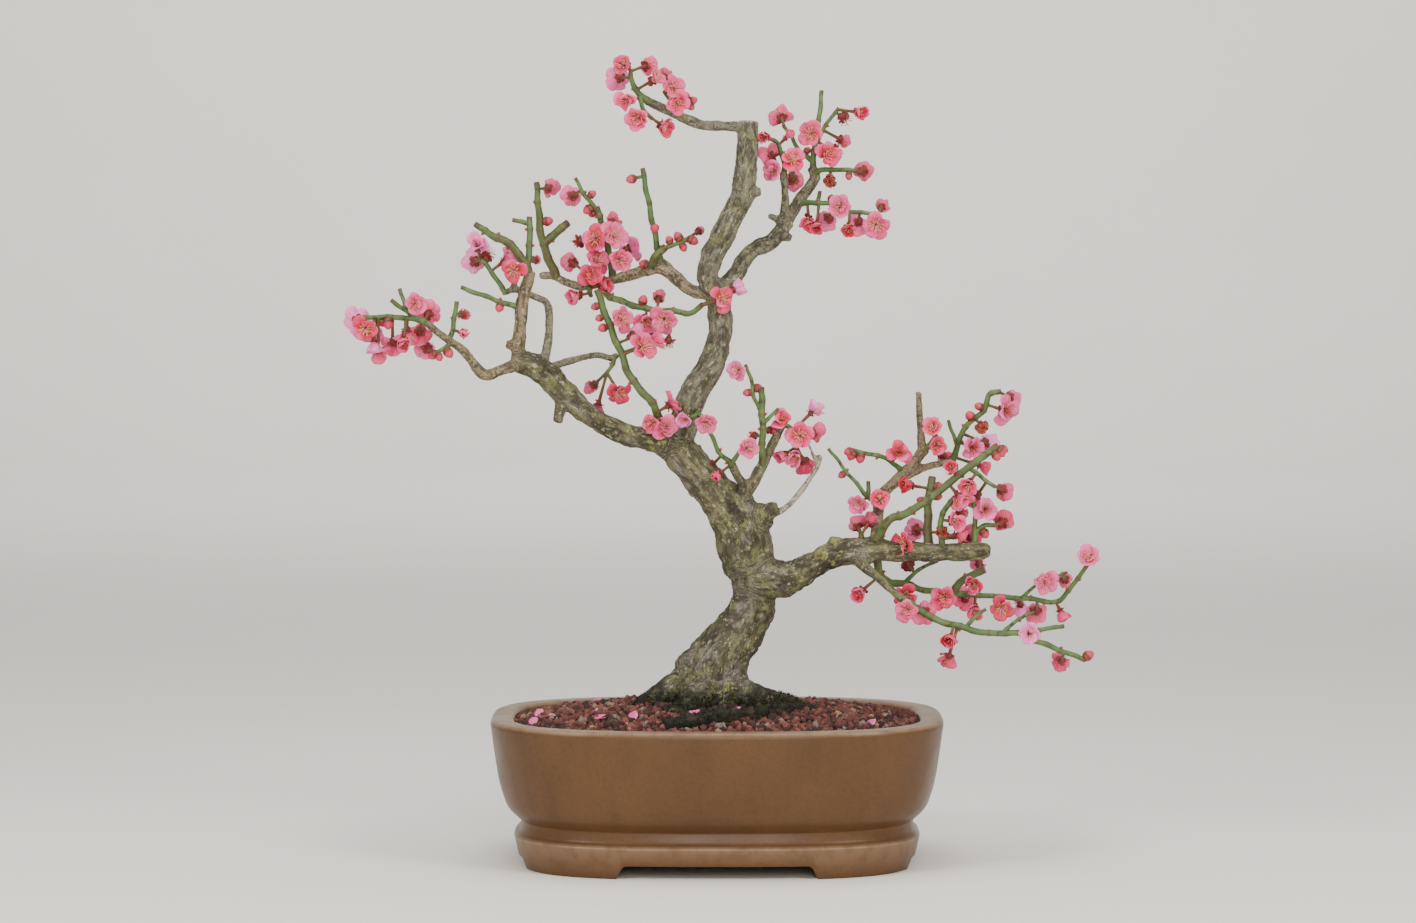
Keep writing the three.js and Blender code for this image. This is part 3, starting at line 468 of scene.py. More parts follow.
def relief_group() -> Tree:
    """Build the shader group for fine relief: a normal from noise of a size and a height.

    Returns:
        The tree.
    """
    inputs = {"Place": "vector", "Size": "value", "Height": "value"}
    graph = Template("fine_relief", "ShaderNodeTree", inputs, {"Normal": "vector"})
    given = graph.given
    grain = graph.noise(given("Place"), given("Size"), 5.0)
    bump = graph.node("ShaderNodeBump", {"Distance": given("Height"), "Height": grain})
    return graph.put_out("Normal", bump.outputs["Normal"])


def shell_tree() -> Tree:
    """Build the tree that makes round wood along paths, thick as each path point says.

    Returns:
        The tree.
    """
    inputs = {"Sides": "whole", "Lump size": "value", "Lump share": "value"}
    graph = Template.shape("wood_along_paths", inputs)
    given = graph.given
    girth = graph.attribute("girth")
    curve = graph.node("GeometryNodeMeshToCurve", {"Mesh": given("Geometry")}).outputs[0]
    ring = graph.node("GeometryNodeCurvePrimitiveCircle", {"Resolution": given("Sides")}).outputs[0]
    inputs = {"Curve": curve, "Profile Curve": ring, "Scale": girth, "Fill Caps": True}
    tube = graph.node("GeometryNodeCurveToMesh", inputs).outputs[0]
    place = graph.node("GeometryNodeInputPosition").outputs[0]
    lump = graph.maths("SUBTRACT", graph.noise(place, given("Lump size"), 2.0), 0.5)
    reach = graph.times(graph.times(lump, given("Lump share")), girth)
    return graph.end_dressed(graph.pushed(tube, reach), True)


def bark_tree() -> Tree:
    """Build the tree that roughens old wood with lumps and cracks, as deep as its girth allows.

    Returns:
        The tree.
    """
    labels = ("Lump size", "Lump height", "Crack width", "Crack depth", "Full girth")
    graph = Template.shape("bark_relief", dict.fromkeys(labels, "value"))
    given = graph.given
    place = graph.node("GeometryNodeInputPosition").outputs[0]
    share = graph.maths("MINIMUM", graph.maths("DIVIDE", graph.attribute("girth"), given("Full girth")), 1.0)
    lump = graph.maths("SUBTRACT", graph.noise(place, given("Lump size"), 4.0), 0.5)
    lump = graph.times(lump, given("Lump height"))
    line = graph.maths("ABSOLUTE", graph.maths("SUBTRACT", graph.grain(given("Crack width"), 3.5), 0.5))
    crack = graph.maths("SUBTRACT", 1.0, graph.window(line, 0.0, 0.05))
    crack = graph.times(crack, graph.window(graph.noise(place, 20 * MM, 2.0), 0.42, 0.6))
    crack = graph.maths("MAXIMUM", crack, graph.attribute("scar"))
    carved = graph.times(crack, given("Crack depth"))
    reach = graph.times(graph.maths("SUBTRACT", lump, carved), share)
    # The carved depth is kept for the bark's colour, which paints shade into the cracks and scars
    stored = graph.stored(given("Geometry"), "crack", crack, "POINT")
    return graph.end_dressed(graph.pushed(stored, reach), True)


def set_out_tree() -> Tree:
    """Build the tree that sets out forms on points, by the variant, turn and size of each.

    Returns:
        The tree.
    """
    graph = Template.shape("set_out_forms", {"Forms": "collection"})
    variant = graph.attribute("variant", "INT")
    turn = graph.node("FunctionNodeEulerToRotation", {0: graph.attribute("turn", "FLOAT_VECTOR")}).outputs[0]
    spread = graph.set_out(graph.given("Geometry"), variant, turn, graph.attribute("size"))
    return graph.end_dressed(spread, True)


def strew_tree() -> Tree:
    """Build the tree that strews forms over a surface at a spacing, where its cover allows.

    Returns:
        The tree.
    """
    inputs = {"Forms": "collection", "Variants": "whole", "Seed": "whole"}
    inputs |= dict.fromkeys(("Spacing", "Smallest", "Largest", "Tilt", "Sink"), "value")
    graph = Template.shape("strew_forms", inputs)
    given = graph.given
    seed = given("Seed")
    inputs = {"Mesh": given("Geometry"), "Distance Min": given("Spacing"), "Density Max": 1.0e6}
    inputs |= {"Density Factor": graph.attribute("cover"), "Seed": seed}
    points = graph.node("GeometryNodeDistributePointsOnFaces", inputs, distribute_method="POISSON")
    variant = graph.node("FunctionNodeRandomValue", {4: 0, 5: given("Variants"), 8: seed}, data_type="INT")
    size = graph.chance(given("Smallest"), given("Largest"), seed)
    tilt = graph.node("ShaderNodeCombineXYZ", {0: given("Tilt"), 1: given("Tilt"), 2: math.pi}).outputs[0]
    ends = {0: graph.scaled(tilt, -1.0), 1: tilt, 8: seed}
    lean = graph.node("FunctionNodeRandomValue", ends, data_type="FLOAT_VECTOR").outputs[0]
    lean = graph.node("FunctionNodeEulerToRotation", {0: lean}).outputs[0]
    turns = {0: points.outputs["Rotation"], 1: lean}
    turned = graph.node("FunctionNodeRotateRotation", turns, rotation_space="LOCAL").outputs[0]
    spread = graph.set_out(points.outputs[0], variant.outputs[2], turned, size)
    down = graph.node("ShaderNodeCombineXYZ", {2: graph.times(size, given("Sink"))}).outputs[0]
    inputs = {"Instances": spread, "Translation": graph.scaled(down, -1.0), "Local Space": False}
    seated = graph.node("GeometryNodeTranslateInstances", inputs).outputs[0]
    shade = graph.chance(0.0, 1.0, graph.maths("ADD", seed, 1.0))
    return graph.end_dressed(graph.stored(seated, "shade", shade, "INSTANCE"), False)


@dataclass(frozen=True)
class Finish:
    """What every finish has: its name, the values that are the same all over, and its relief."""

    name: str
    roughness: float = 0.6
    relief_size: float = 1.2 * MM
    relief_height: float = 0.2 * MM
    coat: float = 0.0
    coat_roughness: float = 0.25
    specular: float = 0.5
    sheen: float = 0.0
    subsurface: float = 0.0
    subsurface_reach: float = 1.5 * MM

    def paint(self, skin: Skin) -> None:
        """Lay on the colours, from the lowest up."""
        raise NotImplementedError

    def wear(self, skin: Skin) -> object:
        """Give the roughness over the surface."""
        return self.roughness

    def build(self) -> Material:
        """Make the material.

        Returns:
            The new material.
        """
        material = bpy.data.materials.new(self.name)
        material.use_nodes = True
        skin = Skin(material.node_tree)
        self.paint(skin)
        sizes = {"Place": skin.place, "Size": self.relief_size, "Height": self.relief_height}
        relief = skin.node("ShaderNodeGroup", sizes, node_tree=GROUPS["fine_relief"])
        values = {
            "Base Color": skin.colour, "Roughness": self.wear(skin), "Normal": relief.outputs["Normal"],
            "Specular IOR Level": self.specular, "Coat Weight": self.coat,
            "Coat Roughness": self.coat_roughness, "Sheen Weight": self.sheen,
            "Subsurface Weight": self.subsurface, "Subsurface Scale": self.subsurface_reach,
        }
        shader = material.node_tree.nodes["Principled BSDF"]
        for label, value in values.items():
            skin.feed(shader.inputs[label], value)
        return material


@dataclass(frozen=True)
class GlazeFinish(Finish):
    """Brown semi-gloss glaze, paler on the rim and the foot's shoulder, where it is partly worn and partly a
    painted highlight.
    """

    body: Colour = srgb(84, 58, 34)
    warm: Colour = srgb(91, 63, 37)
    dark: Colour = srgb(72, 50, 29)
    # The pale of the rim and the foot's shoulder: worn glaze with a painted highlight laid into it
    worn: Colour = srgb(142, 116, 92)
    speck: Colour = srgb(50, 35, 23)

    def paint(self, skin: Skin) -> None:
        """Lay on brown with faint clouds, runs and dark specks, then the pale rim and shoulder: partly worn
        glaze, partly painted highlight.

        Args:
            skin: The material's nodes.
        """
        drawn_down = skin.vector_maths("MULTIPLY", skin.place, (1.0, 1.0, 0.25))
        worn = skin.maths("ADD", 0.45, skin.times(skin.blotches(9 * MM, 0.25, 0.6), 0.4))
        skin.coat(self.body)
        skin.coat(self.warm, skin.blotches(60 * MM, 0.35, 0.7))
        skin.coat(self.dark, skin.blotches(14 * MM, 0.45, 0.75, drawn_down), 0.35)
        skin.coat(self.speck, skin.blotches(2.2 * MM, 0.4, 0.75), 0.22)
        # Painted highlight along the rim and the foot's shoulder, over glaze that is partly worn there
        skin.coat(self.worn, skin.times(skin.attribute("thin"), worn))

    def wear(self, skin: Skin) -> object:
        """Give gloss broken by duller clouds."""
        return skin.maths("ADD", self.roughness, skin.times(skin.blotches(25 * MM, 0.3, 0.7), 0.1))


@dataclass(frozen=True)
class BarkFinish(Finish):
    """Old bark: olive and grey patches, lichen, cracks darkened partly by their own bark and partly by
    painted shade, and moss low down.
    """

    olive: Colour = srgb(110, 106, 76)
    umber: Colour = srgb(58, 53, 38)
    violet: Colour = srgb(116, 108, 100)
    lichen: Colour = srgb(146, 150, 80)
    pale: Colour = srgb(186, 184, 158)
    grey: Colour = srgb(118, 114, 98)
    buff: Colour = srgb(158, 140, 112)
    tan: Colour = srgb(142, 120, 96)
    dead: Colour = srgb(172, 162, 146)
    # The dark of the cracks and scars: partly the fissures' own bark, partly painted shade
    crack: Colour = srgb(38, 34, 26)
    moss: Colour = srgb(27, 28, 18)

    def paint(self, skin: Skin) -> None:
        """Lay on the bark's own colour, then patches, lichen, flecks, the cracks' dark, which is partly
        painted shade, and moss.

        Args:
            skin: The material's nodes.
        """
        skin.coat(self.olive)
        skin.coat(self.umber, skin.window(skin.grain(9 * MM, 3.0), 0.42, 0.6))
        skin.coat(self.violet, skin.window(skin.grain(17 * MM, 2.2, 5.0), 0.5, 0.62))
        skin.coat(self.grey, "grey", 0.75)
        skin.coat(self.buff, "pale", 0.8)
        skin.coat(self.tan, "tan", 0.75)
        skin.coat(self.dead, "dead")
        skin.coat(self.umber, skin.window(skin.grain(3.2 * MM, 3.0, 6.0), 0.45, 0.57), 0.75)
        skin.coat(self.lichen, skin.times(skin.blotches(7 * MM, 0.54, 0.63), skin.attribute("lichen")))
        skin.coat(self.pale, skin.window(skin.grain(1.7 * MM, 2.5, 4.0), 0.57, 0.66), 0.5)
        skin.coat(self.umber, skin.blotches(1.1 * MM, 0.52, 0.62), 0.6)
        # Painted shade in the carved cracks and scars, over bark that is partly darker there
        skin.coat(self.crack, "crack", 0.8)
        skin.coat(self.moss, skin.times(skin.attribute("moss"), skin.blotches(6 * MM, 0.3, 0.55)))


@dataclass(frozen=True)
class ShootFinish(Finish):
    """Green one-year wood, brown at its joints and where it is old."""

    green: Colour = srgb(62, 96, 40)
    light: Colour = srgb(92, 122, 58)
    dark: Colour = srgb(40, 58, 28)
    brown: Colour = srgb(84, 58, 36)

    def paint(self, skin: Skin) -> None:
        """Lay on mottled green, then brown.

        Args:
            skin: The material's nodes.
        """
        skin.coat(self.green)
        skin.coat(self.light, skin.blotches(10 * MM, 0.35, 0.65))
        skin.coat(self.dark, skin.blotches(5 * MM, 0.5, 0.7))
        skin.coat(self.brown, skin.blotches(0.9 * MM, 0.6, 0.66), 0.5)
        skin.coat(self.brown, skin.times(skin.attribute("old"), skin.blotches(8 * MM, 0.2, 0.6)))
        skin.coat(self.brown, "joint")


@dataclass(frozen=True)
class PetalFinish(Finish):
    """Silky petals: hot pink at the claw, softer at the edge, lilac on some backs."""

    claw: Colour = srgb(160, 8, 48)
    blade: Colour = srgb(228, 26, 88)
    edge: Colour = srgb(252, 94, 156)
    lilac: Colour = srgb(250, 140, 206)
    deep: Colour = srgb(196, 14, 50)
    withered: Colour = srgb(150, 48, 52)

    def paint(self, skin: Skin) -> None:
        """Lay on pink from claw to edge, by the petal's and the bloom's own tint, with faint veins.

        Args:
            skin: The material's nodes.
        """
        along, tint = skin.attribute("along"), skin.attribute("tint")
        rim = skin.times(skin.window(along, 0.4, 1.0), skin.maths("ADD", 0.35, tint))
        skin.coat(self.claw)
        skin.coat(self.blade, skin.window(along, 0.1, 0.7))
        skin.coat(self.edge, rim)
        skin.coat(self.deep, skin.window(tint, 0.35, 0.0), 0.6)
        skin.coat(self.edge, "back", 0.4)
        skin.coat(self.lilac, "lilac")
        skin.coat(self.deep, "deep")
        skin.coat(self.withered, "worn")
        fan = skin.node("ShaderNodeCombineXYZ", {0: skin.attribute("across"), 1: skin.times(along, 0.25)})
        skin.coat(self.claw, skin.blotches(0.09, 0.48, 0.62, fan.outputs[0]), 0.28)


@dataclass(frozen=True)
class StamenFinish(Finish):
    """Pale filaments with yellow anthers, red and brown once the bloom is spent."""

    filament: Colour = srgb(246, 170, 180)
    old_filament: Colour = srgb(176, 66, 50)
    anther: Colour = srgb(236, 190, 70)
    old_anther: Colour = srgb(178, 116, 52)

    def paint(self, skin: Skin) -> None:
        """Lay on the filament's colour, then the anther's, each by the bloom's age.

        Args:
            skin: The material's nodes.
        """
        tip = skin.mix(skin.attribute("spent"), self.anther, self.old_anther)
        skin.coat(self.filament)
        skin.coat(self.old_filament, "spent")
        skin.coat(tip, "tip")


@dataclass(frozen=True)
class CalyxFinish(Finish):
    """Red-brown calyx lobes and stalks, greener towards the stem."""

    red: Colour = srgb(128, 32, 34)
    brown: Colour = srgb(92, 42, 30)
    green: Colour = srgb(80, 84, 40)

    def paint(self, skin: Skin) -> None:
        """Lay on mottled red-brown, greener low on the stalk.

        Args:
            skin: The material's nodes.
        """
        skin.coat(self.red)
        skin.coat(self.brown, skin.blotches(3 * MM, 0.4, 0.65))
        skin.coat(self.green, "low", 0.7)


@dataclass(frozen=True)
class BudFinish(Finish):
    """Buds: brown scales below and pink petals showing at the tip."""

    scale: Colour = srgb(132, 50, 42)
    dark: Colour = srgb(80, 32, 26)
    pink: Colour = srgb(196, 56, 82)

    def paint(self, skin: Skin) -> None:
        """Lay on scales in rings, then pink from the middle up.

        Args:
            skin: The material's nodes.
        """
        along = skin.attribute("along")
        split = skin.maths("ADD", along, skin.times(skin.noise(skin.place, 1.6 * MM, 2.0), 0.35))
        skin.coat(self.scale)
        skin.coat(self.dark, skin.window(skin.maths("SINE", skin.times(along, 22.0)), 0.2, 0.9))
        skin.coat(self.pink, skin.window(split, 0.62, 0.78))


@dataclass(frozen=True)
class GravelFinish(Finish):
    """Lava gravel: red-brown stones with a few grey and tan ones, dark near the trunk."""

    red: Colour = srgb(98, 54, 46)
    rust: Colour = srgb(122, 72, 62)
    dark: Colour = srgb(54, 34, 32)
    grey: Colour = srgb(124, 108, 100)
    tan: Colour = srgb(150, 118, 88)
    damp: Colour = srgb(34, 30, 24)
    damp_middle: Place = (4, -12, 112)

    def paint(self, skin: Skin) -> None:
        """Lay on each stone's own colour, its pores, and damp where it lies near the trunk.

        Args:
            skin: The material's nodes.
        """
        shade = skin.attribute("shade")
        skin.coat(self.dark)
        skin.coat(self.red, skin.window(shade, 0.1, 0.55))
        skin.coat(self.rust, skin.window(shade, 0.55, 0.8))
        skin.coat(self.grey, skin.window(shade, 0.88, 0.9))
        skin.coat(self.tan, skin.window(shade, 0.965, 0.97))
        skin.coat(self.dark, skin.blotches(1.3 * MM, 0.5, 0.66), 0.6)
        near = skin.vector_maths("SUBTRACT", skin.place, tuple(ORIGIN + Vector(self.damp_middle) * MM))
        reach = skin.node("ShaderNodeVectorMath", {0: near}, operation="LENGTH").outputs["Value"]
        ragged = skin.maths("ADD", reach, skin.times(skin.noise(skin.place, 18 * MM, 2.0), 30 * MM))
        skin.coat(self.damp, skin.maths("SUBTRACT", 1.0, skin.window(ragged, 48 * MM, 75 * MM)), 0.8)


@dataclass(frozen=True)
class MossFinish(Finish):
    """Dark moss and earth with a little live green."""

    dark: Colour = srgb(24, 24, 17)
    green: Colour = srgb(62, 70, 34)
    brown: Colour = srgb(50, 38, 28)

    def paint(self, skin: Skin) -> None:
        """Lay on dark tufts, some green and some brown.

        Args:
            skin: The material's nodes.
        """
        skin.coat(self.dark)
        skin.coat(self.green, skin.window(skin.attribute("shade"), 0.5, 0.95))
        skin.coat(self.brown, skin.blotches(9 * MM, 0.5, 0.62))


@dataclass(frozen=True)
class MeshPlasticFinish(Finish):
    """Dull black plastic of the drainage screens."""

    black: Colour = srgb(34, 36, 34)
    dusty: Colour = srgb(78, 70, 62)

    def paint(self, skin: Skin) -> None:
        """Lay on black with soil dust."""
        skin.coat(self.black)
        skin.coat(self.dusty, skin.blotches(4 * MM, 0.5, 0.7))


@dataclass(frozen=True)
class StudioFinish(Finish):
    """The plain pale paper under and behind the plant."""

    paper: Colour = srgb(250, 247, 240)
    shade: Colour = srgb(244, 241, 234)

    def paint(self, skin: Skin) -> None:
        """Lay on a nearly even pale tone."""
        skin.coat(self.paper)
        skin.coat(self.shade, skin.noise(skin.place, 0.4, 2.0))


WOOD = [
    Limb([(-6, 80, 0, 58), (-5, 108, 0, 60), (-4, 126, 0, 54), (1, 141, 1, 45), (13, 157, 3, 36),
        (20, 169, 4, 34), (25.5, 184, 5, 32), (25, 200, 5, 32), (19, 221, 3, 38), (18, 233, 2, 40),
        (10, 247, 1, 35), (-6, 263, -1, 28), (-22, 283, -2, 26), (-36, 295, -4, 19)]),
    # Surface roots
    Limb([(-8, 130, -4, 30), (-40, 114, -11, 21), (-66, 96, -20, 9)]),
    Limb([(6, 124, -10, 26), (26, 115, -22, 18), (50, 109, -22, 13), (72, 97, -16, 8)]),
    Limb([(-4, 124, -12, 26), (-16, 113, -32, 18), (-34, 98, -46, 10)]),
    Limb([(-2, 126, 10, 28), (14, 115, 32, 20), (30, 98, 48, 11)]),
    Limb([(-6, 124, 10, 26), (-28, 114, 24, 18), (-48, 98, 34, 10)]),
    # Knots on the trunk
    Limb([(22, 240, 0, 26), (33, 241, -4, 21), (38, 241, -6, 13)]),
    Limb([(32, 244, -6, 12), (39, 248, -8, 9), (42, 249, -9, 6)]),
    Limb([(6, 222, 0, 16), (0, 222, -2, 10)]),
    # Lower right limb
    Limb([(24, 200, 1, 30), (38, 198, -3, 30), (48, 198, -6, 27), (58, 202, -8, 21), (72, 210, -12, 18),
        (88, 217, -15, 19.6), (107, 219, -18, 18), (122, 218.5, -21, 14.6), (155, 217, -24, 13),
        (187, 218, -26, 11.5), (192, 218, -26, 7)]),
    Limb([(82, 220, -16, 11), (83, 228, -17, 7)]),
    # Left limb from the fork
    Limb([(-28, 292, -3, 20), (-52, 297, -10, 17), (-71, 303, -16, 15.5), (-89, 313, -22, 15.5),
        (-108, 330, -28, 17.5), (-124, 345.5, -32, 18.5), (-137, 350, -34, 17), (-144, 351, -35, 12)]),
    Limb([(-107, 328, -28, 9), (-110, 316, -31, 8.4), (-111.5, 308, -32, 7.6)]),
    # Stub rising from the knot of the left limb
    Limb([(-140, 348, -34, 11), (-139, 362, -35, 10), (-136, 393, -34, 9), (-130, 414, -26, 8.4)], Bark.TAN),
    Limb([(-140, 362, -35, 9), (-148, 363, -37, 6)], Bark.TAN),
    # Grey elbow branch
    Limb([(-121, 350, -31, 7.5), (-117.5, 373, -23, 6), (-118.5, 391, -16, 5.6), (-127, 396, -14, 5.2),
        (-141.5, 401.5, -12, 4.6), (-149, 398.5, -12, 4.2)], Bark.GREY),
    Limb([(-142, 401, -12, 4.6), (-141.5, 412, -8, 4)], Bark.GREY),
    # Far left branch
    Limb([(-138, 350, -35, 10), (-154, 344, -45, 8), (-164, 342, -52, 7.6), (-177, 358, -60, 6.5),
        (-191, 368, -64, 5.6), (-205, 379, -68, 4.8)], Bark.TAN),
    # Grey branch across the gap
    Limb([(-118, 346, -30, 7), (-106, 350.5, -19, 5.6), (-85, 355.5, -3, 5.1), (-74, 353, 4, 5),
        (-69.5, 356, 6, 4.6)], Bark.GREY),
    # Upright limb from the fork to the pruned crown
    Limb([(-28, 294, -3, 22), (-23.5, 306, -2, 20.5), (-19, 322.5, 0, 19.6), (-10, 340, 3, 19.6),
        (-1, 356, 5, 18.2), (2.5, 376, 4, 17), (0.5, 395, 3, 17.5), (-7, 410.5, 0, 15.6),
        (-3.5, 424.5, -2, 16.8), (12, 456, -4, 16.8), (19, 472, -4, 16.6), (21.7, 519, -2, 14.6)], Bark.GREY),
    Limb([(20, 469, -4, 10), (31, 469.5, -6, 6.5)], Bark.GREY),
    # Crown branch towards the left
    Limb([(20, 515, -3, 8.4), (-3, 515.5, -12, 7.5), (-16, 518, -18, 7.3),
        (-50.5, 533.5, -33, 6)], Bark.GREY),
    # Rear left branch with its knotty cluster
    Limb([(-3, 398, 3, 11), (-19, 401.5, 10, 8.6), (-38.5, 417.5, 18, 11.5), (-50, 414.5, 23, 8.6),
        (-89, 404, 34, 6.5), (-103, 405.5, 38, 6), (-116, 411, 42, 6), (-124, 410.5, 44, 5.6)], Bark.PALE),
    # Rear right branch and its two arms
    Limb([(-1, 398, 4, 14), (11, 409, 8, 12.6), (23, 427, 16, 11.4), (38.5, 435, 24, 11),
        (50, 449, 30, 9.8)], Bark.GREY),
    Limb([(46, 439, 27, 8), (52, 437, 25, 6)], Bark.GREY),
    Limb([(47, 446, 29, 7.6), (47.5, 468, 23, 6.3), (46, 484, 20, 5.8)], Bark.GREY),
    Limb([(46, 449, 29, 5.5), (36, 453, 24, 4.2)], Bark.GREY),
    Limb([(48, 447, 30, 9), (58, 464, 42, 8.4), (68.5, 479, 50, 7.6), (66, 487, 52, 7)], Bark.GREY),
    # Riser from the lower right limb, with its side arm and a dead tip
    Limb([(112, 218, -18, 10), (114, 252, -3, 8.6), (119, 261, 3, 8.4), (137, 279, 13, 8),
        (146, 290, 18, 7.6)], Bark.TAN),
    Limb([(122, 264, 6, 7.5), (141, 275, 16, 6.4), (167, 282, 28, 5.6)], Bark.TAN),
    Limb([(144, 286, 17, 6.4), (141, 330, 22, 4.8)], Bark.TAN),
    # Little branches above the trunk's elbow
    Limb([(18, 238, -6, 12), (18, 248, -9, 9.5), (20, 268, -12, 7.6)]),
    Limb([(19, 264, -11, 7), (14.5, 270, -13, 6.6), (10.5, 279, -15, 6.3)]),
    Limb([(19, 257, -10, 9), (26.5, 268, -9, 8), (34.5, 284, -5, 7), (43.5, 302.5, -1, 6.2)]),
    # Pale deadwood twig
    Limb([(33, 240, -6, 6.5), (51, 251, -2, 4.4), (70.5, 277, 8, 3.8), (72, 286, 10, 3.4)], Bark.DEAD),
    Limb([(70.5, 278, 8, 3), (65, 291, 14, 2.6), (56.5, 310, 22, 2.2)], Bark.DEAD),
    # Low right branch
    Limb([(95, 214, -20, 8), (114, 198, -36, 6.2), (130, 184, -42, 5.4)]),
]

